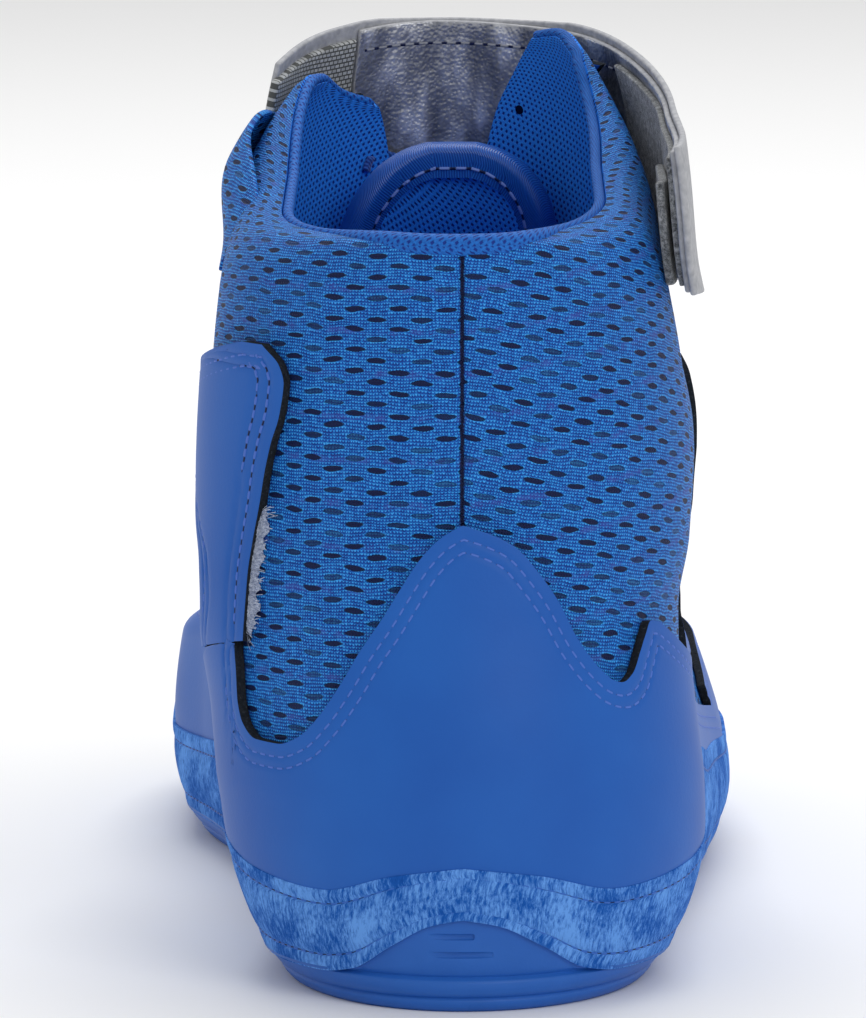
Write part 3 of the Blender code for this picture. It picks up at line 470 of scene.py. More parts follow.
column_number, row_number, aside, above = staggered(tree, spot, HOLE_SPACING, HOLE_PITCH, 0.5)
aside = add(tree, "Math", {0: aside, 1: HOLE_SPACING / HOLE_WIDTH}, operation="MULTIPLY")
above = add(tree, "Math", {0: above, 1: HOLE_PITCH / HOLE_HEIGHT}, operation="MULTIPLY")
upwards = add(tree, "Math", {0: above, 1: 2.0}, operation="POWER")
sideways = add(tree, "Math", {0: aside, 1: 1.7}, operation="POWER")
away = add(tree, "Math", {0: sideways, 1: upwards}, operation="ADD")
which = add(tree, "CombineXYZ", {0: column_number, 1: row_number})
chance = add(tree, "TexWhiteNoise", {"Vector": which}, noise_dimensions="2D")
openness = add(tree, "MapRange", {0: chance, 1: 0.05, 2: 0.5, 3: 0.62, 4: 1.0})
hole = add(tree, "MapRange", {0: away, 1: 0.75, 2: 1.2, 3: 1.0, 4: 0.0}, interpolation_type="SMOOTHSTEP")
rim = add(tree, "MapRange", {0: away, 1: 1.3, 2: 3.6, 3: 1.0, 4: 0.0}, interpolation_type="SMOOTHSTEP")
# Each loop is painted lighter in its middle and darker at its edges, as painted highlight and painted shade
# on the round filament; the same loop gives the relief.
loop_side = add(tree, "Math", {0: spot.outputs[0], 1: LOOP / 2}, operation="PINGPONG")
loop_lean = add(tree, "Math", {0: loop_side, 1: 0.8, 2: spot.outputs[1]}, operation="MULTIPLY_ADD")
loop_up = add(tree, "Math", {0: loop_lean, 1: LOOP / 2}, operation="PINGPONG")
loop_up = add(tree, "Math", {0: loop_up, 1: 2 / LOOP}, operation="MULTIPLY")
loop_side = add(tree, "Math", {0: loop_side, 1: 2 / LOOP}, operation="MULTIPLY")
loop_side = add(tree, "Math", {0: loop_side, 1: 0.5}, operation="POWER")
loop = add(tree, "Math", {0: loop_side, 1: loop_up}, operation="MULTIPLY")
stitch = add(tree, "VectorMath", {0: knit_place, 1: (1 / LOOP, 1 / LOOP, 0)}, operation="MULTIPLY")
stitch = add(tree, "VectorMath", {0: stitch}, operation="FLOOR")
# Painted glints: a random lightness for each stitch, as painted highlight.
glint = add(tree, "TexWhiteNoise", {"Vector": stitch}, noise_dimensions="2D")
fleck = add(tree, "TexNoise", {"Vector": knit_place, "Scale": 1.5, "Detail": 3.0, "Roughness": 0.7})
tone = add(tree, "Math", {0: glint, 1: 0.28, 2: loop}, operation="MULTIPLY_ADD")
tone = add(tree, "Math", {0: fleck, 1: 0.5, 2: tone}, operation="MULTIPLY_ADD")
tone = add(tree, "Math", {0: rim, 1: 0.16, 2: tone}, operation="MULTIPLY_ADD")
tone = add(tree, "Math", {0: tone, 1: 0.72}, operation="MULTIPLY")
thread = add(
    tree, "ValToRGB", {0: tone},
    stops=((0.24, "#032a7c"), (0.86, "#44b0ff"), (0.42, "#084ca8"), (0.62, "#1270cc")),
)
band_rise = add(tree, "Math", {0: flat_spot.outputs[0], 1: outer_half}, operation="MULTIPLY")
band_rise = add(tree, "Math", {0: band_rise, 1: -0.12, 2: flat_spot.outputs[1]}, operation="MULTIPLY_ADD")
band_rise = add(tree, "Math", {0: fleck, 1: 2.2, 2: band_rise}, operation="MULTIPLY_ADD")
band = add(tree, "Math", {0: band_rise, 1: HOLE_PITCH}, operation="PINGPONG")
band = add(tree, "MapRange", {0: band, 1: 0.35, 2: 0.8, 3: 1.0, 4: 0.0})
patchy = add(tree, "TexNoise", {"Vector": flat_place, "Scale": 0.35, "Detail": 3.0})
patchy = add(tree, "MapRange", {0: patchy, 1: 0.42, 2: 0.62, 3: 0.0, 4: 0.55})
band = add(tree, "Math", {0: band, 1: patchy}, operation="MULTIPLY")
thread = add(tree, "Mix", {0: band, 6: thread, 7: linear("#3d4aa6")}, data_type="RGBA")
# The holes are painted near black: the dark foam under them, darkened further with painted shade in the
# recess.
shown = add(tree, "Math", {0: hole, 1: openness}, operation="MULTIPLY")
thread = add(tree, "Mix", {0: shown, 6: thread.outputs[2], 7: linear("#031544")}, data_type="RGBA")
seam = add(tree, "Math", {0: flat_spot.outputs[0]}, operation="ABSOLUTE")
seam = add(tree, "Math", {0: fleck, 1: -0.7, 2: seam}, operation="MULTIPLY_ADD")
seam = add(tree, "MapRange", {0: seam, 1: -0.1, 2: 0.2, 3: 1.0, 4: 0.0})
thread = add(tree, "Mix", {0: seam, 6: thread.outputs[2], 7: linear("#050f38")}, data_type="RGBA")
height = add(tree, "Math", {0: rim, 1: 0.5, 2: loop}, operation="MULTIPLY_ADD")
height = add(tree, "Math", {0: hole, 1: -4.0, 2: height}, operation="MULTIPLY_ADD")
dress(tree, shader, thread.outputs[2], {"Height": height, "Distance": 0.00022, "Strength": 0.9})

# Lining: a fine warp knit brushed soft on the inside, with a small dark gap in each stitch. Its stitches are
# 1.1 mm apart and stand in staggered rows 1.4 mm high.
STITCH_WIDTH = 1.1
STITCH_HEIGHT = 1.4
lining, tree, shader = material("warp-knitted lining", {"Roughness": 0.65, "Specular IOR Level": 0.25})
flat_place = add(tree, "UVMap", uv_map="flat")
spot = add(tree, "SeparateXYZ", {0: flat_place})
_, _, aside, above = staggered(tree, spot, STITCH_WIDTH, STITCH_HEIGHT)
gap = add(tree, "Math", {0: aside, 1: above}, operation="ADD")
gap = add(tree, "MapRange", {0: gap, 1: 0.20, 2: 0.46, 3: 1.0, 4: 0.0}, interpolation_type="SMOOTHSTEP")
fuzz = add(tree, "TexNoise", {"Vector": flat_place, "Scale": 2.2, "Detail": 3.0})
knit_tone = add(tree, "ValToRGB", {0: fuzz}, stops=((0.3, "#1e7ae6"), (0.7, "#3496fa")))
knit_tone = add(tree, "Mix", {0: gap, 6: knit_tone, 7: linear("#052c86")}, data_type="RGBA")
height = add(tree, "Math", {0: gap, 1: -1.0, 2: fuzz}, operation="MULTIPLY_ADD")
dress(tree, shader, knit_tone.outputs[2], {"Height": height, "Distance": 0.00018, "Strength": 0.8})

# Charcoal backing: the felt and foam that show wherever coated leather is cut, with pale lint caught in them.


def textured(name, values, kind, inputs, stops, relief, flat=False, **settings):
    """A material whose tone and relief both come from one texture, in space or on the flat piece."""
    made, tree, shader = material(name, values)
    place = add(tree, "UVMap", uv_map="flat") if flat else add(tree, "TexCoord").outputs["Object"]
    texture = add(tree, kind, {"Vector": place, **inputs}, **settings)
    tone = add(tree, "ValToRGB", {0: texture}, stops=stops)
    dress(tree, shader, tone.outputs[0], {"Height": texture, **relief})
    return made


backing = textured(
    "charcoal felt backing", {"Roughness": 0.95, "Specular IOR Level": 0.1},
    "TexNoise", {"Scale": 1600.0, "Detail": 5.0, "Roughness": 0.8},
    ((0.35, "#14181d"), (0.74, "#4c5157"), (0.58, "#262a30")), {"Distance": 0.0002},
)

# Creases: soft troughs and ridges of the worn-in shaft, listed one by one. Turn and height of both ends,
# width, and depth, which is positive for a ridge.
CREASES = (
    (-0.62, 0.088, -0.30, 0.070, 0.007, -0.0011),
    (0.62, 0.086, 0.34, 0.076, 0.007, -0.0013),
    (-0.58, 0.101, -0.36, 0.092, 0.008, 0.0006),
    (0.60, 0.100, 0.36, 0.097, 0.008, 0.0007),
    (-0.13, 0.090, -0.10, 0.128, 0.006, -0.0005),
    (0.14, 0.092, 0.11, 0.128, 0.006, -0.0005),
    (-0.30, 0.118, -0.17, 0.126, 0.005, -0.0006),
    (0.86, 0.050, 0.62, 0.034, 0.008, -0.0008),
    (-0.86, 0.052, -0.62, 0.036, 0.008, -0.0008),
)
ANKLE_TOP = 0.118
SEAM_WIDTH = 0.0009
SEAM_DEPTH = 0.0006
ROLL = 0.0095
ROLL_HEIGHT = 0.016


def creases(turn, z):
    """How far the worn-in surface stands off the smooth last."""
    out = np.zeros(np.broadcast(turn, z).shape)
    around = np.sign(turn) * np.abs(distance_at(turn))
    for start, low, end, high, width, depth in CREASES:
        first = np.array((float(distance_at(start)), low))
        run = np.array((float(distance_at(end)), high)) - first
        share = np.clip(((around - first[0]) * run[0] + (z - first[1]) * run[1]) / (run @ run), 0, 1)
        gap = np.hypot(around - first[0] - share * run[0], z - first[1] - share * run[1])
        out = out + depth * np.exp(-((gap / width) ** 2)) * np.sin(np.pi * (0.12 + 0.76 * share))
    return out


def feather_height(y):
    return floor_gap(y) + SOLE_BASE + 0.0003


def topline(side, y):
    rise = np.where(side < 0, top_rises[0](y), top_rises[1](y))
    return COLLAR_HEIGHT + (FLAP_HEIGHT - COLLAR_HEIGHT) * rise


seam_columns = np.array((0.0004, 0.0009, 0.0015, 0.0022))
inner_columns = np.linspace(-girths[0][-1], -0.0035, 160)
outer_columns = np.linspace(0.0035, girths[1][-1], 160)
distances = np.concatenate([inner_columns, -seam_columns[::-1], [0], seam_columns, outer_columns])
turns = turn_at(distances)
sides = np.where(turns < 0, -1, 1)
rows = []
for share in np.linspace(0, 1, 22):
    z = settle(turns, lambda y: feather_height(y) * (1 - share) + TOE_HEIGHT * share)
    rows.append(skin(turns, z, creases(turns, z)))
for share in np.linspace(0, 1, 25)[1:]:
    z = TOE_HEIGHT + share * (INSTEP_HEIGHT - TOE_HEIGHT) + 0 * turns
    rows.append(skin(turns, z, creases(turns, z)))
for row in rows:
    row[0] = row[-1] = (row[0] + row[-1]) / 2
instep_row = len(rows) - 1
for share in np.linspace(0, 1, 25)[1:]:
    z = INSTEP_HEIGHT + share * (ANKLE_TOP - INSTEP_HEIGHT) + 0 * turns
    rows.append(skin(turns, z, creases(turns, z), True))
for share in np.linspace(0, 1, 24)[1:] ** 0.85:
    z = settle(turns, lambda y: ANKLE_TOP + share * (topline(sides, y) - ANKLE_TOP), True)
    below = topline(sides, skin(turns, z, 0.0, True)[:, 1] - LAST_PLACE[1]) - z
    sideways = ease(np.abs(turns), 0.03, 0.22) * (1 - ease(np.abs(turns), 0.50, 0.85))
    roll = ROLL * (1 - rounded(below / ROLL_HEIGHT)) * (0.1 + 0.9 * sideways)
    rows.append(skin(turns, z, creases(turns, z) - roll, True))
shell = np.array(rows)
shell_around = arc(shell, 1)
shell_around -= shell_around[:, [len(inner_columns) + len(seam_columns)]]
shell_up = arc(shell, 0)
shell_up -= shell_up[instep_row]
shell[..., 1] += SEAM_DEPTH * np.exp(-((distances / SEAM_WIDTH) ** 2))
shell_flat = np.stack([shell_around, shell_up], -1)
upper = cloth("upper_mesh", shell, WALL, (knit_mesh, lining, lining), 0.0006, True, flat=shell_flat)
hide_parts("upper")

# Anchor cover: the mesh of the inner side runs up in a round lobe over the place where the webbing is sewn
# down, and hides its end.
LOBE_FOOT = 0.128
LOBE_TOP = 0.1545
LOBE_SHEET = 0.0012
LOBE_RISE = 49.0
LOBE = np.linspace(-0.42, -0.76, 60)
lobe_top = LOBE_TOP - 0.014 * ((LOBE + 0.62) / 0.17) ** 2
lobe_rows = []
for share in np.linspace(0, 1, 26):
    lobe_z = LOBE_FOOT + (lobe_top - LOBE_FOOT) * share
    out = 0.0046 * ease(share, 0.1, 0.75) * ease(-LOBE, 0.42, 0.56) - 0.0055 * share**2
    lobe_rows.append(skin(LOBE, lobe_z, out - 0.0006))
lobe_points = np.array(lobe_rows)[:, ::-1]
lobe_flat = flat_places(lobe_points) + (1000 * float(distance_at(LOBE[-1])), LOBE_RISE)
lobe = cloth("anchor_cover", lobe_points, LOBE_SHEET, (knit_mesh,), flat=lobe_flat)

# Collar binding: the lining is folded over the collar's edge and sewn down, a soft round band at the back of
# the heel that thins out to a flat fold along the flaps.
BEAD = 0.0021
FOLD = 0.0010


def heading(path):
    """The direction of a line at each of its points."""
    return unit(np.gradient(path, axis=0))


def tube(name, path, radius, surface, around=14):
    """A round bead along a line of points, closed at its ends."""
    ahead = heading(path)
    first = unit(np.cross(ahead, (0.0, 0.0, 1.0)))
    second = np.cross(first, ahead)
    angle = np.linspace(0, 2 * np.pi, around + 1)
    closing = np.ones(len(path))
    closing[[0, -1]] = 0
    closing[[1, -2]] = 0.7
    radius = np.broadcast_to(radius, len(path))
    radii = (radius * closing)[:, None, None]
    ring = np.cos(angle)[None, :, None] * first[:, None] + np.sin(angle)[None, :, None] * second[:, None]
    points = path[:, None] + ring * radii
    along = arc(points, 0)
    flat = np.stack([along, angle * radius[:, None] * 1000], -1)
    mesh = grid_on(points, flat)
    bmesh.ops.recalc_face_normals(mesh, faces=mesh.faces)
    made = piece(name, mesh, surface)
    settle_mesh(made)
    return made


centre_side = skin(turns, z, creases(turns, z) - roll - WALL / 2, True)
# The binding gets a darker copy of the lining: the same knit, painted darker as painted shade on the folded
# bead.
shaded_fold_knit = lining.copy()
shaded_fold_knit.name = "warp-knitted lining, folded outwards"
fold_tree = shaded_fold_knit.node_tree
for stop, shade in zip(fold_tree.nodes["Color Ramp"].color_ramp.elements, ("#0f55aa", "#1b70cc")):
    stop.color = linear(shade)
bead = BEAD + (FOLD - BEAD) * ease(np.abs(turns), 0.08, 0.24)
binding_path = centre_side + np.array((0, 0, -0.0004))
binding = tube("collar_binding", binding_path[2:-2], bead[2:-2], shaded_fold_knit)

# Outsole: one moulding of blue gum rubber, with a rounded bead round the foot of its wall, two fine grooves,
# and a wave up the back of the heel with two short recesses. Satin, because the mould was blasted.
SOLE_BEAD = 0.0022
BEAD_TOP = 0.0064
GROOVE = 0.0026
BEAD_SECTION = (
    0, 0.4, 0.9, 1.4, 1.9, 2.2, 2.4, 2.6, 2.8, 3.1, 3.6, 4.2, 4.8, 5.3, 5.7, 6.0, 6.2, 6.4, 6.6, 6.9,
)
WALL_OUT = 0.0016
BUMPER = 0.012
WAVE_HEIGHT = 0.0177
WAVE = ((0.0, 1.0), (0.020, 0.93), (0.045, 0.72), (0.080, 0.44), (0.110, 0.38), (1.2, 0.38))
RAND_HEIGHT = 0.0267
RAND = (
    (0.000, 1.00), (0.040, 0.94), (0.090, 0.81), (0.150, 0.88), (0.210, 1.00),
    (0.420, 1.05), (0.640, 0.84), (0.900, 0.86), (1.120, 1.08),
)
wave_curve = Curve([(around * LENGTH, share * WAVE_HEIGHT) for around, share in WAVE])
rand_curve = Curve([(around * LENGTH, share * RAND_HEIGHT) for around, share in RAND])


def wave_height(turn, y):
    bumper = BUMPER * ease(y, 0.90 * LENGTH, 0.99 * LENGTH)
    return wave_curve(np.abs(distance_at(turn))) + floor_gap(y) + bumper


def rand_top(turn, y):
    return rand_curve(np.abs(distance_at(turn))) + floor_gap(y)


rubber, tree, shader = material("moulded gum rubber", {"Roughness": 0.45, "Specular IOR Level": 0.28})
place = add(tree, "TexCoord")
cloud = add(tree, "TexNoise", {"Vector": place.outputs["Object"], "Scale": 55.0, "Detail": 4.0})
blue = add(tree, "ValToRGB", {0: cloud}, stops=((0.3, "#225cb0"), (0.7, "#2864ba")))
grain = add(tree, "TexNoise", {"Vector": place.outputs["Object"], "Scale": 1400.0, "Detail": 3.0})
dress(tree, shader, blue.outputs[0], {"Height": grain, "Distance": 0.00006, "Strength": 0.5})

ring_turns = turn_at(np.linspace(-girths[0][-1], girths[1][-1], 420))


def ring(height_at, out):
    """A closed ring of points round the shoe."""
    z = settle(ring_turns, height_at)
    points = skin(ring_turns, z, out)
    points[0] = points[-1] = (points[0] + points[-1]) / 2
    return points, z


def bead_out(height):
    """The section of the rubber's foot: a bead with a groove under its middle and one over it."""
    bulge = SOLE_BEAD * rounded(np.clip(height / 0.0022, 0.02, 1)) ** 0.5
    bulge -= 0.0006 * np.exp(-(((height - GROOVE) / 0.00035) ** 2))
    bulge += 0.0004 * np.exp(-(((height - 0.0046) / 0.0012) ** 2))
    bulge = WALL_OUT + (bulge - WALL_OUT) * (1 - ease(height, BEAD_TOP - 0.0007, BEAD_TOP))
    return bulge - 0.0004 * np.exp(-(((height - BEAD_TOP) / 0.0004) ** 2))


def cut_out(made, cutter):
    """Cuts the shapes of a bmesh out of a piece."""
    data = bpy.data.meshes.new("cutter")
    cutter.to_mesh(data)
    cutter.free()
    punch = bpy.data.objects.new("cutter", data)
    bpy.context.scene.collection.objects.link(punch)
    cut = made.modifiers.new("cut", "BOOLEAN")
    cut.object = punch
    cut.solver = "EXACT"
    settle_mesh(made)
    bpy.data.objects.remove(punch)


profile = []
for height in np.array(BEAD_SECTION) / 1000:
    points, z = ring(lambda y: floor_gap(y) + height, bead_out(height))
    points[:, 2] = z
    profile.append(points)
bead_end = BEAD_SECTION[-1] / 1000
for share in (0.25, 0.5, 0.75, 0.9, 1.0):
    points, z = ring(
        lambda y: (floor_gap(y) + bead_end) * (1 - share) + wave_height(ring_turns, y) * share, WALL_OUT
    )
    profile.append(points)
profile.append(ring(lambda y: wave_height(ring_turns, y) + 0.0006, 0.0010)[0])
wall_points = np.array(profile)
wall = cloth("outsole_wall", wall_points, 0.0009, (rubber,), 0, True)
cutter = bmesh.new()
for share, width in ((0.60, 0.0155), (0.79, 0.0085)):
    z = share * WAVE_HEIGHT
    outside = skin(np.array(0.0), np.array(z), 0.0016)
    block = bmesh.ops.create_cube(cutter, size=1)["verts"]
    bmesh.ops.scale(cutter, verts=block, vec=(width, 0.0012, 0.0012))
    bmesh.ops.translate(cutter, verts=block, vec=Vector(outside) + Vector((-0.002, 0, 0)))
edges = list(cutter.edges)
bmesh.ops.bevel(cutter, geom=edges, offset=0.0004, segments=2, profile=0.5, affect="EDGES", material=-1)
cut_out(wall, cutter)
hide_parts("outsole")

# Tread: the underside of the same moulding, parted into lugs by shallow channels and covered with a fine
# hexagon grip, so it shines in small facets.
CHANNELS = ((0.10, 0.0), (0.19, 0.0), (0.50, -0.2), (0.58, -0.2), (0.66, -0.2), (0.74, -0.2))
tread_rubber, tree, shader = material("hexagon tread rubber", {"Roughness": 0.5})
place = add(tree, "TexCoord")
cell = add(
    tree, "TexVoronoi", {"Vector": place.outputs["Object"], "Scale": 260.0, "Randomness": 0.0},
    feature="DISTANCE_TO_EDGE", voronoi_dimensions="2D",
)
groove = add(tree, "MapRange", {0: cell, 1: 0.03, 2: 0.16, 3: 0.0, 4: 1.0})
# The hexagon grooves are painted darker than the faces, as painted shade in them; the same mask gives the
# relief.
blue = add(tree, "ValToRGB", {0: groove}, stops=((0.0, "#17438c"), (1.0, "#2460b8")))
dress(tree, shader, blue.outputs[0], {"Height": groove, "Distance": 0.0007, "Strength": 1.0})


def sheet_across(count, height_at, out, share):
    """Points across the shoe, from its inner side to its outer side."""
    around = turn_at(np.linspace(0, girths[1][-1], count))
    lefts, rights = (skin(turn, settle(turn, height_at), out) for turn in (-around, around))
    return lefts[:, None] * (1 - share[:, None]) + rights[:, None] * share[:, None]


share = np.linspace(0, 1, 61)
tread_points = sheet_across(200, floor_gap, bead_out(np.array(0.0)), share)
along = tread_points[..., 1] - LAST_PLACE[1]
tread_points[..., 2] = floor_gap(along)
for place_along, turned in CHANNELS:
    beyond = along - place_along * LENGTH
    gap = beyond * math.cos(turned) - (tread_points[..., 0] - LAST_PLACE[0]) * math.sin(turned)
    tread_points[..., 2] += 0.0012 * (1 - ease(np.abs(gap), 0.0013, 0.0018))
edge = np.minimum(share, 1 - share)
tread_points[..., 2] += 0.0008 * (1 - ease(edge * 60, 0.5, 1.5))
tread = cloth("outsole_tread", tread_points[:, ::-1], 0.003, (tread_rubber,), 0, True)

# Suede rand: a strip of split leather all round, glued over the edge of the rubber and of the leather above
# it, with a row of thick thread near each edge. Its nap stands up, so its grazed edges look pale.
SUEDE = 0.0021
suede, tree, shader = material(
    "napped suede",
    {"Roughness": 0.95, "Sheen Weight": 0.12, "Sheen Roughness": 0.5, "Specular IOR Level": 0.05},
)
shader.inputs["Sheen Tint"].default_value = linear("#7fb0ff")
flat_place = add(tree, "UVMap", uv_map="flat")
brushed = add(tree, "VectorMath", {0: flat_place, 1: (1.0, 0.35, 0)}, operation="MULTIPLY")
nap = add(tree, "TexNoise", {"Vector": brushed, "Scale": 1.6, "Detail": 5.0, "Roughness": 0.75})
patch = add(tree, "TexNoise", {"Vector": flat_place, "Scale": 0.10, "Detail": 3.0})
tone = add(tree, "Math", {0: patch, 1: 0.7, 2: nap}, operation="MULTIPLY_ADD")
nap_blue = add(tree, "ValToRGB", {0: tone}, stops=((0.5, "#0f4292"), (0.98, "#68a0ea"), (0.76, "#1c58ae")))
dress(tree, shader, nap_blue.outputs[0], {"Height": nap, "Distance": 0.0002, "Strength": 0.8})
RAND_ROWS = (0.18, 0.82)


def rand_height(y, share):
    """Height on the rand, from its lower edge on the rubber to its upper edge."""
    low = wave_height(ring_turns, y) - 0.0004
    return low + share * (rand_top(ring_turns, y) - low)


rand_rows = []
for share in (0, 0.04, 0.08, 0.13, 0.18, 0.24, 0.31, 0.4, 0.5, 0.6, 0.69, 0.76, 0.82, 0.87, 0.92, 0.96, 1):
    dip = sum(0.00045 * np.exp(-(((share - row) / 0.045) ** 2)) for row in RAND_ROWS)
    rand_rows.append(ring(lambda y: rand_height(y, share), 0.0003 - dip)[0])
rand_points = np.array(rand_rows)
rand = cloth("suede_rand", rand_points, SUEDE, (suede,), 0.0008, False, 3)
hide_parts("suede_rand")

# Heel counter: smooth coated leather over charcoal felt, moulded round the heel up to a peak on the back
# seam, cut in a deep curve on each side, and held by two rows of stitches. Its edge is given as the distance
# from the back seam and the height, in shares of the length and the counter's height.
LEATHER = 0.0019
GLUE_LINE = 0.0003
COUNTER_HEIGHT = 0.087
COUNTER_INNER = (
    (0.000, 1.000), (0.015, 0.972), (0.028, 0.929), (0.040, 0.868), (0.052, 0.799), (0.064, 0.737),
    (0.076, 0.667), (0.089, 0.603), (0.102, 0.558), (0.118, 0.538), (0.138, 0.540), (0.153, 0.568),
    (0.160, 0.610), (0.164, 0.690), (0.168, 0.736), (0.187, 0.722), (0.215, 0.700), (0.240, 0.660),
    (0.265, 0.570), (0.300, 0.510), (0.350, 0.490),
)
COUNTER_OUTER = (
    (0.000, 1.000), (0.020, 0.980), (0.037, 0.952), (0.053, 0.897), (0.068, 0.833), (0.081, 0.751),
    (0.094, 0.693), (0.103, 0.668), (0.110, 0.662), (0.120, 0.676), (0.133, 0.722), (0.142, 0.755),
    (0.150, 0.779), (0.160, 0.773),
    (0.170, 0.756), (0.194, 0.713), (0.220, 0.676), (0.300, 0.575), (0.440, 0.430), (0.560, 0.345),
)
leather, tree, shader = material(
    "coated leather",
    {"Roughness": 0.5, "Specular IOR Level": 0.28, "Coat Weight": 0.04, "Coat Roughness": 0.35},
)
place = add(tree, "TexCoord")
cloud = add(tree, "TexNoise", {"Vector": place.outputs["Object"], "Scale": 30.0, "Detail": 3.0})
blue = add(tree, "ValToRGB", {0: cloud}, stops=((0.3, "#1054ac"), (0.7, "#175eb6")))
pores = add(tree, "TexVoronoi", {"Vector": place.outputs["Object"], "Scale": 1500.0})
grain = add(tree, "TexNoise", {"Vector": place.outputs["Object"], "Scale": 900.0, "Detail": 4.0})
grain = add(tree, "Math", {0: pores, 1: 0.5, 2: grain}, operation="MULTIPLY_ADD")
dress(tree, shader, blue.outputs[0], {"Height": grain, "Distance": 0.00004, "Strength": 0.6})

STITCH_INSETS = (0.0024, 0.0045)
STITCHED_BAND = 0.012


def picked(line, way, places):
    """Points at some places along a line, given how far along it each of its own points is."""
    return np.stack([np.interp(places, way, values) for values in line.T], -1)


def even(line, count):
    """The same line with its points evenly spaced."""
    way = way_along(line)
    return picked(line, way, np.linspace(0, way[-1], count))


def puckered(distance):
    """How deep the leather is drawn in by the rows of stitches this far from its edge."""
    return sum(0.0003 * np.exp(-(((distance - row) / 0.0005) ** 2)) for row in STITCH_INSETS)


def turn_past_toe(around):
    """The turn at a distance from the back seam over the outer side, on past the toe to the inner side."""
    over = around > girths[1][-1]
    return turn_at(np.where(over, around - girths[1][-1] - girths[0][-1], around))


def leather_strip(name, edge, thickness, bare=(9.0, 9.0)):
    """Leather from an edge down to the rand. Gives its rows of stitches, which leave out a bare stretch."""
    strip_turns = turn_past_toe(edge[:, 0])
    foot = settle(strip_turns, lambda y: rand_top(strip_turns, y) - 0.0015)
    height = edge[:, 1] - foot
    band = np.minimum(STITCHED_BAND, 0.7 * height)
    drops = np.array(
        [band * share for share in np.linspace(0, 1, 36)]
        + [band + (height - band) * share for share in np.linspace(0, 1, 11)[1:]]
    )
    fine = even(edge, 1400)
    fine = fine[(fine[:, 0] < bare[0]) | (fine[:, 0] > bare[1])]
    aside = edge[:, :1] - fine[None, :, 0]
    gaps = np.array([
        np.min(np.hypot(aside, (edge[:, 1] - drop)[:, None] - fine[None, :, 1]), axis=1) for drop in drops
    ])
    strip = skin(strip_turns[None], edge[:, 1] - drops, GLUE_LINE - puckered(gaps))[::-1]
    made = cloth(name, strip, thickness, (leather, backing), 0.00025)
    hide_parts(name)
    sewn = []
    for row_inset in STITCH_INSETS:
        drop = np.array([np.interp(row_inset, gap, low) for gap, low in zip(gaps.T, drops.T)])
        held = (gaps.max(axis=0) > row_inset) & (gaps[0] < row_inset)
        sewn.append(even(np.stack([edge[:, 0], edge[:, 1] - drop], -1)[held], 900))
    return sewn


inner_edge = Curve([(around * LENGTH, share * COUNTER_HEIGHT) for around, share in COUNTER_INNER])
outer_edge = Curve([(around * LENGTH, share * COUNTER_HEIGHT) for around, share in COUNTER_OUTER])
edge_around = np.linspace(-COUNTER_INNER[-1][0] * LENGTH, COUNTER_OUTER[-1][0] * LENGTH, 4000)
edge_height = np.where(edge_around < 0, inner_edge(-edge_around), outer_edge(edge_around))
counter_edge = even(np.stack([edge_around, edge_height], -1), 470)
under_panel = (-0.350 * LENGTH, -0.165 * LENGTH)
counter_rows = leather_strip("heel_counter", counter_edge, LEATHER, under_panel)

# Stitches: blue bonded nylon, 0.6 mm thick, 2.5 mm to a stitch, each one a short bar between two needle
# holes painted dark, as painted shade in them. A row is one narrow strip whose first coordinate counts the
# stitches.
STITCH_SECTION = ((-1.0, -0.8), (-0.55, 0.8), (0.0, 1.0), (0.55, 0.8), (1.0, -0.8))
thread_strips = {}


def stitches(colour, path, normals, pitch=0.0025, width=0.00062):
    """Adds a row of stitches along a line of points."""
    way = way_along(path)
    number = np.arange(int(way[-1] / pitch) * 8 + 1) / 8
    centre = picked(path, way, number * pitch)
    up = unit(picked(normals, way, number * pitch))
    sideways = unit(np.cross(up, heading(centre)))
    bar = np.sqrt(np.clip(1 - ((number % 1 - 0.5) / 0.34) ** 2, 0, 1))[:, None]
    points = np.array([
        centre + sideways * share * width / 2 * (0.85 + 0.15 * bar) + up * rise * (0.00004 + 0.00020 * bar)
        for share, rise in STITCH_SECTION
    ])
    flat = np.stack(np.broadcast_arrays(number[None], np.array(STITCH_SECTION)[:, :1]), -1)
    thread_strips.setdefault(colour, []).append(grid_on(points[:, ::-1], flat[:, ::-1]))


def stitches_on(colour, line, out, **sizes):
    """A row of stitches along a line on the flat upper, given by its distance around and height."""
    turn = turn_past_toe(line[:, 0])
    points = skin(turn, line[:, 1], out)
    stitches(colour, points, points - skin(turn, line[:, 1], out - 0.001), **sizes)


for line in counter_rows:
    stitches_on("leather", line, LEATHER + 0.00005)
rand_line = distance_at(ring_turns)
for share in RAND_ROWS:
    z = settle(ring_turns, lambda y: rand_height(y, share))
    stitches_on("suede", np.stack([rand_line, z], -1), SUEDE - 0.0001)

# Toe guard: the same coated leather round the forefoot and over the toe, from the counter on one side to the
# counter on the other, for the scrapes of the mat.
THIN_LEATHER = 0.0015
GUARD_HEIGHT = 0.048
GUARD_OUTER = ((0.560, 0.72), (0.640, 0.84), (0.800, 0.90), (1.200, 0.98))
GUARD_INNER = (
    (0.350, 0.890), (0.450, 0.930), (0.550, 1.000), (0.620, 1.040), (0.700, 1.000), (0.900, 0.950),
    (1.200, 0.980),
)
guard_outer = Curve([(around * LENGTH, share * GUARD_HEIGHT) for around, share in GUARD_OUTER])
guard_inner = Curve([(around * LENGTH, share * GUARD_HEIGHT) for around, share in GUARD_INNER])
whole_girth = girths[0][-1] + girths[1][-1]
guard_around = np.linspace(0.5605 * LENGTH, whole_girth - 0.3505 * LENGTH, 4000)
past_toe = ease(guard_around, girths[1][-1] - 0.01, girths[1][-1] + 0.01)
guard_height = guard_outer(guard_around) * (1 - past_toe) + guard_inner(whole_girth - guard_around) * past_toe
guard_edge = even(np.stack([guard_around, guard_height], -1), 420)
for line in leather_strip("toe_guard", guard_edge, THIN_LEATHER):
    stitches_on("leather", line, THIN_LEATHER + 0.00005)

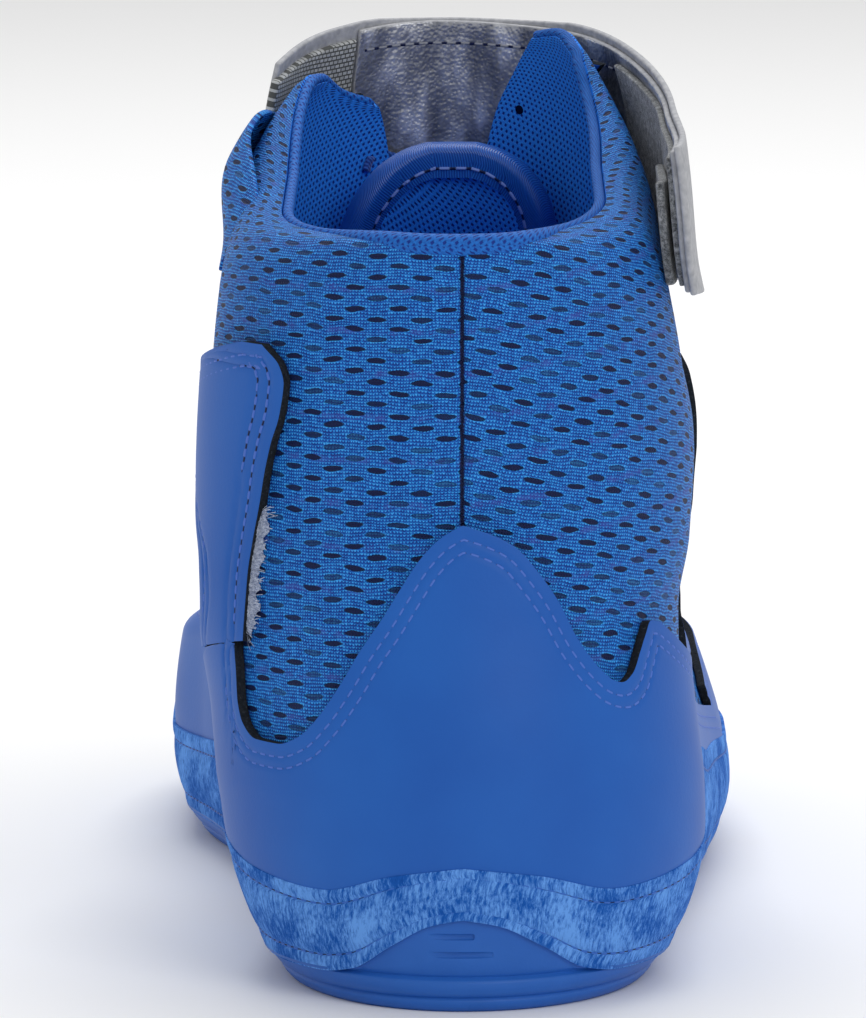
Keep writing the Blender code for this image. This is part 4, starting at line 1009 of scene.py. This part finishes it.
# Ankle panels: the coated leather over felt again, up each side of the ankle, with a round top. The inner one
# stands on the counter's edge.
INNER_PANEL_TOP = 0.1182
OUTER_PANEL_TOP = 0.107
INNER_PANEL = (
    (0.545, 0.087, 0.150), (0.605, 0.089, 0.142), (0.665, 0.092, 0.150), (0.720, 0.093, 0.175),
    (0.780, 0.093, 0.205), (0.845, 0.091, 0.225), (0.890, 0.088, 0.225), (0.940, 0.087, 0.200),
    (0.970, 0.090, 0.160), (1.000, 0.100, 0.115),
)
OUTER_PANEL = (
    (0.400, 0.372, 0.492), (0.550, 0.368, 0.484), (0.700, 0.360, 0.472), (0.840, 0.342, 0.452),
    (0.920, 0.334, 0.430), (0.970, 0.342, 0.408), (1.000, 0.360, 0.385),
)


def ankle_panel(name, side, table, top, base, slant=0.0):
    """A panel on one side, from its base, lower at the front by the slant, up to its round top."""
    rear = Curve([(row[0] * top, row[1] * LENGTH) for row in table])
    front = Curve([(row[0] * top, row[2] * LENGTH) for row in table])
    heights = base + (top - base) * np.sin(np.linspace(0, np.pi / 2, 60))
    share = np.linspace(0, 1, 36)
    share = share - np.sin(2 * np.pi * share) * 0.09
    y = rear(heights)[:, None] * (1 - share) + front(heights)[:, None] * share
    z = heights[:, None] - slant * share * ((top - heights) / (top - base))[:, None] ** 2
    width = (front(heights) - rear(heights))[:, None]
    edge = np.minimum(np.minimum(share * width, (1 - share) * width), top - z)
    points = beside(side, y, z, GLUE_LINE - puckered(edge))
    if side < 0:
        points = points[:, ::-1]
    made = cloth(name, points, LEATHER, (leather, backing), 0.0004)
    outline = np.concatenate([
        np.stack([rear(heights), heights], -1), np.stack([front(heights), heights], -1)[::-1]
    ])
    for row_inset in STITCH_INSETS:
        ahead = np.gradient(outline, axis=0)
        ahead /= np.linalg.norm(ahead, axis=1, keepdims=True) + 1e-12
        line = outline + np.stack([ahead[:, 1], -ahead[:, 0]], -1) * row_inset
        inside = (line[:, 1] > base + 0.0015) & (line[:, 1] < top - row_inset * 0.8)
        if row_inset > STITCH_INSETS[0]:
            inside &= line[:, 1] > top - 0.024
        line = line[inside]
        on_top = beside(side, line[:, 0], line[:, 1], LEATHER + 0.0001)
        stitches("leather", on_top, on_top - beside(side, line[:, 0], line[:, 1], 0.0))
    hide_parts(name)


inner_base = 0.736 * COUNTER_HEIGHT + 0.0002
ankle_panel("ankle_panel_medial", -1, INNER_PANEL, INNER_PANEL_TOP, inner_base, 0.0035)
ankle_panel("ankle_panel_lateral", 1, OUTER_PANEL, OUTER_PANEL_TOP, 0.0444)

# Frayed fleece: the white backing of the inner panel has come out along the lower half of its rear edge, as a
# ragged strip of matted fibres with loose ends.
fleece = textured(
    "matted white fleece", {"Roughness": 1.0, "Specular IOR Level": 0.1},
    "TexNoise", {"Scale": 1800.0, "Detail": 5.0, "Roughness": 0.8},
    ((0.36, "#5f6f96"), (0.62, "#d3dcee")), {"Distance": 0.0003},
)
FRAY_LOW = 0.0650
FRAY_HIGH = 0.0885


def joined(grids):
    """Several bmeshes as one."""
    whole = bmesh.new()
    for grid in grids:
        data = bpy.data.meshes.new("grid")
        grid.to_mesh(data)
        grid.free()
        whole.from_mesh(data)
        bpy.data.meshes.remove(data)
    return whole


chance = np.random.default_rng(7)
fray_z = np.linspace(FRAY_LOW, FRAY_HIGH, 70)
panel_rear = Curve([(row[0] * INNER_PANEL_TOP, row[1] * LENGTH) for row in INNER_PANEL])
ragged = np.convolve(chance.uniform(0.0, 1.0, 72), np.ones(3) / 3, "valid")
ragged *= 0.0019 * ease(np.minimum(fray_z - FRAY_LOW, FRAY_HIGH - fray_z), 0.0, 0.004)
fray_rows = []
for share in np.linspace(0, 1, 7):
    out = 0.0013 * np.sqrt(1 - share**2) + 0.0003 + chance.uniform(-0.00012, 0.00012, len(fray_z))
    fray_rows.append(beside(-1, panel_rear(fray_z) + 0.0004 - share * (ragged + 0.0004), fray_z, out))
fray_points = np.array(fray_rows)
fibre_grids = [grid_on(fray_points, flat_places(fray_points))]
for number in range(160):
    start_z = chance.uniform(FRAY_LOW + 0.0005, FRAY_HIGH - 0.0005)
    reach, lean, curl = chance.uniform(0.0010, 0.0030), chance.uniform(-1.2, 1.2), chance.uniform(-0.8, 0.8)
    step = np.linspace(0, 1, 5)
    fibre_y = panel_rear(np.array(start_z)) - reach * step * math.cos(lean)
    fibre_z = start_z + reach * (step * math.sin(lean) + curl * step**2 * 0.5)
    fibre_out = 0.0009 + 0.0009 * np.sin(step * 2.4)
    fibre = np.array([beside(-1, fibre_y, fibre_z + half, fibre_out) for half in (-0.00006, 0.00006)])
    fibre_grids.append(grid_on(fibre, np.zeros((2, 5, 2))))
frayed = piece("frayed_fleece", joined(fibre_grids), fleece)
frayed.data.shade_smooth()

# Insole: a thin foam sock liner covered with the lining's knit, glued to the footbed and turned up a little
# at its edge.
share = np.linspace(0, 1, 41)
insole_points = sheet_across(160, lambda y: feather_height(y) + 0.003, -WALL - 0.0013, share)
insole_widths = np.linalg.norm(insole_points[:, -1] - insole_points[:, 0], axis=1)
edge = np.minimum(share, 1 - share) * insole_widths[:, None]
insole_points[..., 2] += -0.0012 * ease(edge, 0.0, 0.012)
insole = cloth("insole", insole_points, 0.0020, (lining,), 0.0003, True)
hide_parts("insole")

# Tongue: foam between two knits, curved round the shin, its top bound with satin twill tape 5 mm wide that is
# sewn through with pale thread.
TONGUE_HALF = 0.0250
TONGUE_SHIFT = 0.003
TONGUE_HEIGHT = 0.146
TONGUE_LEAN = 0.013
TONGUE_BASE = 0.0646
TONGUE_FOAM = 0.0042
TAPE = 0.0048
TONGUE = (
    (0.00, 0.80, 0.00), (0.12, 0.98, 0.00), (0.30, 1.00, 0.00), (0.45, 1.00, 0.08), (0.60, 0.98, 0.25),
    (0.74, 0.94, 0.48), (0.86, 0.84, 0.74), (0.94, 0.66, 0.90), (0.985, 0.42, 0.98), (1.00, 0.22, 1.00),
)
tongue_half = Curve([(row[0], row[1] * TONGUE_HALF) for row in TONGUE])
tongue_lean = Curve([(row[0], row[2] * TONGUE_LEAN) for row in TONGUE])


def tongue_point(rise, share, deep):
    """A point of the tongue, by its rise, its share of the half width and its depth behind the throat."""
    z = TONGUE_BASE + rise * (TONGUE_HEIGHT - TONGUE_BASE)
    points = over_front(share * tongue_half(rise), z, -WALL - 0.0004 - deep)
    points[..., 1] -= tongue_lean(rise)
    points[..., 0] += tongue_lean(rise) / TONGUE_LEAN * TONGUE_SHIFT
    return points


rise = 1 - (1 - np.linspace(0, 1, 70)) ** 1.5
share = np.sin(np.linspace(-np.pi / 2, np.pi / 2, 45))
rise_grid, share_grid = np.meshgrid(rise, share, indexing="ij")
tongue_points = tongue_point(rise_grid, share_grid, 0.0)[:, ::-1]
tongue = cloth("tongue", tongue_points, TONGUE_FOAM, (lining,), 0.0014, True, 3)
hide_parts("tongue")

satin = textured(
    "satin twill tape", {"Roughness": 0.36, "Specular IOR Level": 0.5},
    "TexWave", {"Scale": 1.25, "Distortion": 0.6, "Detail": 1.0},
    ((0.1, "#0d3f9a"), (0.9, "#2366be")), {"Distance": 0.0001, "Strength": 0.7},
    flat=True, wave_type="BANDS", bands_direction="DIAGONAL",
)
climb = np.concatenate([np.linspace(0.35, 0.96, 60), 1 - (1 - np.linspace(0, 1, 12)) ** 2 * 0.04])
descent = climb[::-1][1:]
crown = np.linspace(-1, 1, 11)[1:-1]
rim_rise = np.concatenate([climb, np.ones_like(crown), descent])
rim_share = np.concatenate([-np.ones_like(climb), crown, np.ones_like(descent)])
front_rim = tongue_point(rim_rise, rim_share, -0.0003)
back_rim = tongue_point(rim_rise, rim_share, TONGUE_FOAM + 0.0003)
middle_rim = (front_rim + back_rim) / 2
thick = (back_rim - front_rim) / 2
outward = unit(np.cross(heading(middle_rim), thick))
centre_line = tongue_point(np.full(len(rim_rise), 0.6), 0 * rim_share, TONGUE_FOAM / 2)
outward *= np.sign(np.sum(outward * (middle_rim - centre_line), axis=1))[:, None]
tape_rows = []
for angle in np.linspace(-90, 90, 11):
    turn = math.radians(angle)
    tape_rows.append(middle_rim + thick * math.sin(turn) + outward * 0.0012 * math.cos(turn))
inner_shares = (1.0, 0.66, 0.33)
tape_front = [tape_rows[0] - outward * TAPE * part for part in inner_shares]
tape_back = [tape_rows[-1] - outward * TAPE * part for part in inner_shares[::-1]]
tape_points = np.array(tape_front + tape_rows + tape_back)
tape = piece("tongue_binding", grid_on(tape_points, flat_places(tape_points)), satin)
solid = tape.modifiers.new("thickness", "SOLIDIFY")
solid.thickness = 0.0005
solid.offset = 0
settle_mesh(tape)
sewn_line = tape_back[0] - outward * TAPE * 0.28
behind = unit(thick)
stitches("tape", sewn_line + behind * 0.0004, behind, pitch=0.0032)

# Eyestay: coated leather sewn round the throat, thinner than the counter's, with seven punched holes up each
# edge. Its ends stop short of the flaps' tops.
EYESTAY_WIDTH = 0.012
EYELET_INSET = 0.0045
EYELET = 0.0036
eyestay_base = INSTEP_HEIGHT + 0.11 * (FLAP_HEIGHT - INSTEP_HEIGHT)
eyelet_heights = INSTEP_HEIGHT + np.linspace(0.14, 0.83, 7) * (FLAP_HEIGHT - INSTEP_HEIGHT)
eyestay_rows = []
for out in np.linspace(0.0008, EYESTAY_WIDTH, 16):
    edges = []
    for side, rise in ((-1, 0.55), (1, 0.80)):
        top = COLLAR_HEIGHT + (FLAP_HEIGHT - COLLAR_HEIGHT) * rise
        z = eyestay_base + (top - eyestay_base) * np.linspace(0.0, 1, 60)
        edges.append((side * (throat_half(z) + out), z))
    angle = np.radians(np.linspace(-90, 90, 40))[1:-1]
    drop = (eyestay_base - INSTEP_HEIGHT) + (out + 0.0008) * 0.55
    turn_z = eyestay_base - drop * np.cos(angle)
    turn_width = (throat_half(eyestay_base) + out) * np.sin(angle)
    width = np.concatenate([edges[0][0][::-1], turn_width, edges[1][0]])
    z = np.concatenate([edges[0][1][::-1], turn_z, edges[1][1]])
    rim_gap = min(out - 0.0008, EYESTAY_WIDTH - out)
    eyestay_rows.append(over_front(width, z, GLUE_LINE - puckered(np.array(rim_gap))))
eyestay_points = np.array(eyestay_rows)
eyestay = cloth("eyestay", eyestay_points, THIN_LEATHER, (leather, backing), 0.0003)
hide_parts("eyestay")


def rod(mesh, start, end, first_radius, last_radius, segments):
    """Adds a round rod between two points to a bmesh."""
    turned = (end - start).to_track_quat("Z", "Y").to_matrix().to_4x4()
    turned.translation = (start + end) / 2
    bmesh.ops.create_cone(
        mesh, cap_ends=True, segments=segments, radius1=first_radius, radius2=last_radius,
        depth=(end - start).length, matrix=turned,
    )


lining_holes = []
cutter = bmesh.new()
for z in eyelet_heights:
    for side in (-1, 1):
        width = side * (throat_half(z) + EYELET_INSET)
        if z == eyelet_heights[-1]:
            lining_holes.append((width, z))
        ends = [Vector(over_front(width, z, out)) for out in (0.006, -0.006)]
        rod(cutter, *ends, EYELET / 2, EYELET / 2, 16)
cut_out(eyestay, cutter)

# Lining holes: where the awl went on through the lining it has closed again to less than half the width. Each
# narrowed hole is drawn as a near-black plug: painted shade inside the hole.
hole_shade = material("painted shade inside a hole", {"Roughness": 1.0, "Specular IOR Level": 0.0})[0]
hole_shade.node_tree.nodes["Principled BSDF"].inputs["Base Color"].default_value = linear("#04102e")
closed = bmesh.new()
for width, z in lining_holes:
    ends = [Vector(over_front(width, z, out)) for out in (0.0002, -WALL - 0.0001)]
    rod(closed, *ends, 0.0013, 0.0009, 14)
plugs = piece("lining_holes", closed, hole_shade)

# Lace: one flat woven polyester lace, 6 mm wide, crossing between the holes up to the sixth pair. It sinks
# into each hole, and one run of a crossing lies on the other.
LACE_WIDTH = 0.006
LACE_THICKNESS = 0.0011
LACE_CROWN = 0.0003
LACE_LIFT = 0.0022
LACE_SUNK = 0.0032
laced = textured(
    "flat woven lace", {"Roughness": 0.75, "Sheen Weight": 0.2},
    "TexWave", {"Scale": 0.55, "Distortion": 0.4},
    ((0.2, "#123f8f"), (0.8, "#2560b8")), {"Distance": 0.00015, "Strength": 0.8},
    flat=True, wave_type="BANDS", bands_direction="DIAGONAL",
)
lace_parts = []
for number, (low, high) in enumerate(zip(eyelet_heights[:-2], eyelet_heights[1:-1])):
    for side in (-1, 1):
        share = np.linspace(-0.04, 1.04, 36)
        z = low + (high - low) * share
        width = -side * (throat_half(z) + EYELET_INSET) * (1 - 2 * share)
        near = ease(np.minimum(share + 0.04, 1.04 - share), 0.0, 0.16)
        lift = -LACE_SUNK + (LACE_SUNK + LACE_LIFT + (LACE_THICKNESS if side > 0 else 0)) * near
        half = LACE_WIDTH / 2 * (0.5 + 0.5 * near)
        path = over_front(width, z, lift)
        up = unit(path - over_front(width, z, lift - 0.001))
        sideways = unit(np.cross(heading(path), up))
        strips = np.linspace(-1, 1, 7)[:, None, None]
        points = path[None] + strips * sideways[None] * half[None, :, None]
        points = points + (1 - strips**2) * LACE_CROWN * up[None]
        lace_parts.append(cloth(f"lace_run_{number}_{side}", points, LACE_THICKNESS, (laced,), 0.0004))
crossings = bmesh.new()
for part in lace_parts:
    crossings.from_mesh(part.data)
    bpy.data.objects.remove(part)
bmesh.ops.recalc_face_normals(crossings, faces=crossings.faces)
lace = piece("lace_crossings", crossings, laced)
settle_mesh(lace)
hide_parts("lace_crossings")

# Ankle strap: foil-coated pebbled leather, silver, in a fold of pale grey leather. It leaves the webbing on
# the inner side, crosses the front above the tongue and closes on the outer side. Foil creases into crinkles,
# whose bright streaks are painted into its colour as painted highlight.
STRAP = 0.0024
STRAP_TOP = 0.1675
STRAP_WIDTH = 0.042
STAND_OFF = 0.0044
WEBBING_END = -0.88
OUTER_LEATHER = 0.0012
STRAP_PATH = (
    (-0.60, 0.912, 0.67, 0.02), (-0.70, 0.952, 0.84, 0.40), (-0.84, 0.984, 0.96, 0.90),
    (-1.00, 0.999, 1.00, 1.00), (-1.20, 0.990, 1.00, 1.00), (-1.35, 0.964, 0.95, 0.80),
    (-1.50, 0.928, 0.80, 0.70), (-1.68, 0.905, 0.62, 0.92),
)
strap_top = Curve([(-row[0], row[1] * STRAP_TOP) for row in STRAP_PATH])
strap_width = Curve([(-row[0], row[2] * STRAP_WIDTH) for row in STRAP_PATH])
strap_lift = Curve([(-row[0], row[3] * STAND_OFF) for row in STRAP_PATH])
foil, tree, shader = material("silver foil leather", {"Metallic": 0.55, "Roughness": 0.34})
flat_place = add(tree, "UVMap", uv_map="flat")
pebble = add(tree, "TexVoronoi", {"Vector": flat_place, "Scale": 1.6, "Randomness": 1.0}, feature="SMOOTH_F1")
crumple = add(tree, "VectorMath", {0: flat_place, 1: (0.16, 0.07, 0)}, operation="MULTIPLY")
crumple = add(tree, "TexNoise", {"Vector": crumple, "Scale": 1.0, "Detail": 2.0, "Roughness": 0.5})
# The foil's tone follows the crinkles from grey to near white, as painted highlight on the creases; the
# crinkles also give the relief.
silver = add(tree, "ValToRGB", {0: crumple}, stops=((0.35, "#7b7e86"), (0.68, "#e4e6ea"), (0.5, "#a2a4aa")))
height = add(tree, "Math", {0: crumple, 1: 4.0, 2: pebble}, operation="MULTIPLY_ADD")
dress(tree, shader, silver.outputs[0], {"Height": height, "Distance": 0.0003, "Strength": 0.7})
felt_edge = textured(
    "pale grey strap edge", {"Roughness": 0.7}, "TexNoise", {"Scale": 700.0, "Detail": 4.0},
    ((0.3, "#94969c"), (0.7, "#b4b5b9")), {"Distance": 0.0002},
)


def strap_points(strap_turns, shares, out):
    """Rows of points over the strap's inner face, at turns that run on past the front ridge."""
    real = np.where(strap_turns < -1, strap_turns + 2, strap_turns)
    lines = []
    for share in shares:
        z = strap_top(-strap_turns) - (1 - share) * strap_width(-strap_turns)
        z = np.minimum(z, FLAP_HEIGHT - 0.0004)
        wave = 0.0004 * np.sin(strap_turns * 47) * np.sin(share * 3)
        lines.append(skin(real, z, GLUE_LINE + strap_lift(-strap_turns) + out + wave))
    return np.array(lines)


strap_turns = np.linspace(WEBBING_END, STRAP_PATH[-1][0], 180)
points = strap_points(strap_turns, np.linspace(0, 1, 24), 0.0)
strap = cloth("ankle_strap", points, STRAP - OUTER_LEATHER, (foil, felt_edge, foil), 0.0004, True)
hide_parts("ankle_strap")
hem_turns = np.linspace(WEBBING_END - 0.01, -1.55, 260)
hem = strap_points(hem_turns, (0.90, 0.91), -0.00005)
stitches("strap", hem[0], hem[0] - strap_points(hem_turns, (0.90,), 0.001)[0], pitch=0.0027)
outer_turns = np.linspace(-0.71, STRAP_PATH[-1][0] - 0.006, 220)
points = strap_points(outer_turns, np.linspace(-0.02, 1.03, 24), STRAP - OUTER_LEATHER)
outer_leather = cloth("strap_outer_leather", points, OUTER_LEATHER, (felt_edge,), 0.0004, True)

# Webbing: grey elastic, ribbed across, between the strap and its anchor on the inner flap. It is a little
# narrower than the strap, and it alone gives when the strap is pulled over.
elastic, tree, shader = material("ribbed elastic webbing", {"Roughness": 0.8, "Sheen Weight": 0.2})
flat_place = add(tree, "UVMap", uv_map="flat")
rib = add(
    tree, "TexBrick", {
        "Vector": flat_place, "Scale": 0.8, "Mortar Size": 0.12, "Brick Width": 1.0, "Row Height": 0.7,
        "Color1": linear("#babdbd"), "Color2": linear("#a2a5a5"), "Mortar": linear("#4a4c4a"),
    },
)
dress(tree, shader, rib.outputs[0], {"Height": rib.outputs["Fac"], "Distance": 0.0002}, invert=True)
points = strap_points(np.linspace(-0.70, WEBBING_END + 0.004, 50), np.linspace(0.04, 0.96, 16), 0.0)
webbing = cloth("strap_webbing", points, 0.0018, (elastic,), 0.0005, True)
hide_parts("strap_webbing")

# Grip patch: nylon hook tape sewn to the outer side of the shaft, and the loop pile on the back of the
# strap's end. Both are a grey fuzz with dark gaps that the light catches.
pile = textured(
    "nylon hook and loop", {"Roughness": 1.0, "Sheen Weight": 0.6},
    "TexNoise", {"Scale": 900.0, "Detail": 6.0, "Roughness": 0.85},
    ((0.40, "#2c2f33"), (0.62, "#c4c6c8"), (0.5, "#7c8084")), {"Distance": 0.0006},
)
patch_turns, patch_z = np.meshgrid(np.linspace(0.34, 0.52, 50), np.linspace(0.755, 0.87, 30) * FLAP_HEIGHT)
patch_piece = cloth("grip_patch", skin(patch_turns, patch_z, GLUE_LINE), 0.0016, (pile,), 0.0004)
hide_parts("grip_patch")
pile_turns = np.linspace(-1.30, STRAP_PATH[-1][0] + 0.01, 60)
points = strap_points(pile_turns, np.linspace(0.05, 0.95, 20), -0.0012)
loops = cloth("strap_pile", points, 0.0012, (pile,), 0.0003, True)

# Thread: bonded nylon again. All stitches of one colour are one piece, and their needle holes are painted
# dark by the count of the stitches, as painted shade in the holes.
THREADS = (
    ("leather", "#4c70c6", "heel_counter"),
    ("suede", "#3568be", "suede_rand"),
    ("tape", "#6f8ad0", "tongue"),
    ("strap", "#8d9099", "ankle_strap"),
)
for colour, hex_colour, slot in THREADS:
    values = {"Roughness": 0.5, "Specular IOR Level": 0.25}
    nylon, tree, shader = material(f"bonded nylon thread {colour}", values)
    stitch_place = add(tree, "UVMap", uv_map="flat")
    spot = add(tree, "SeparateXYZ", {0: stitch_place})
    # Painted shade: the ends of each stitch, where it dives into its needle hole, are painted near black.
    needle = add(tree, "Math", {0: spot.outputs[0], 1: 0.5}, operation="PINGPONG")
    tint = add(tree, "ValToRGB", {0: needle}, stops=((0.15, "#081640"), (0.24, hex_colour)))
    tree.links.new(tint.outputs[0], shader.inputs["Base Color"])
    sewn = piece(f"stitches_{colour}", joined(thread_strips[colour]), nylon)
    sewn.data.shade_smooth()

# Studio: a pale seamless floor in a white room, with one soft box above the camera to its right and a larger
# one high up beyond the toe, which lights the collar and the strap from above.
floor_mesh = bmesh.new()
bmesh.ops.create_grid(floor_mesh, x_segments=1, y_segments=1, size=6)
floor_data = bpy.data.meshes.new("floor")
floor_mesh.to_mesh(floor_data)
floor_mesh.free()
floor = bpy.data.objects.new("floor", floor_data)
paper, tree, shader = material("white paper sweep", {"Roughness": 0.9, "Base Color": linear("#f4f4f4")})
floor_data.materials.append(paper)
bpy.context.scene.collection.objects.link(floor)


def soft_box(name, place, size, power):
    """An area light that faces the shoe."""
    light = bpy.data.lights.new(name, "AREA")
    light.size = size
    light.energy = power
    made = bpy.data.objects.new(name, light)
    made.location = place
    made.rotation_euler = (Vector((0, 0, 0.08)) - Vector(place)).to_track_quat("-Z", "Y").to_euler()
    bpy.context.scene.collection.objects.link(made)


soft_box("key", (0.9, -1.6, 1.3), 1.0, 9)
soft_box("top", (0.1, 0.9, 1.9), 1.6, 26)
world = bpy.data.worlds.new("white room")
world.use_nodes = True
world.node_tree.nodes["Background"].inputs["Color"].default_value = linear("#ffffff")
world.node_tree.nodes["Background"].inputs["Strength"].default_value = 0.62
bpy.context.scene.world = world
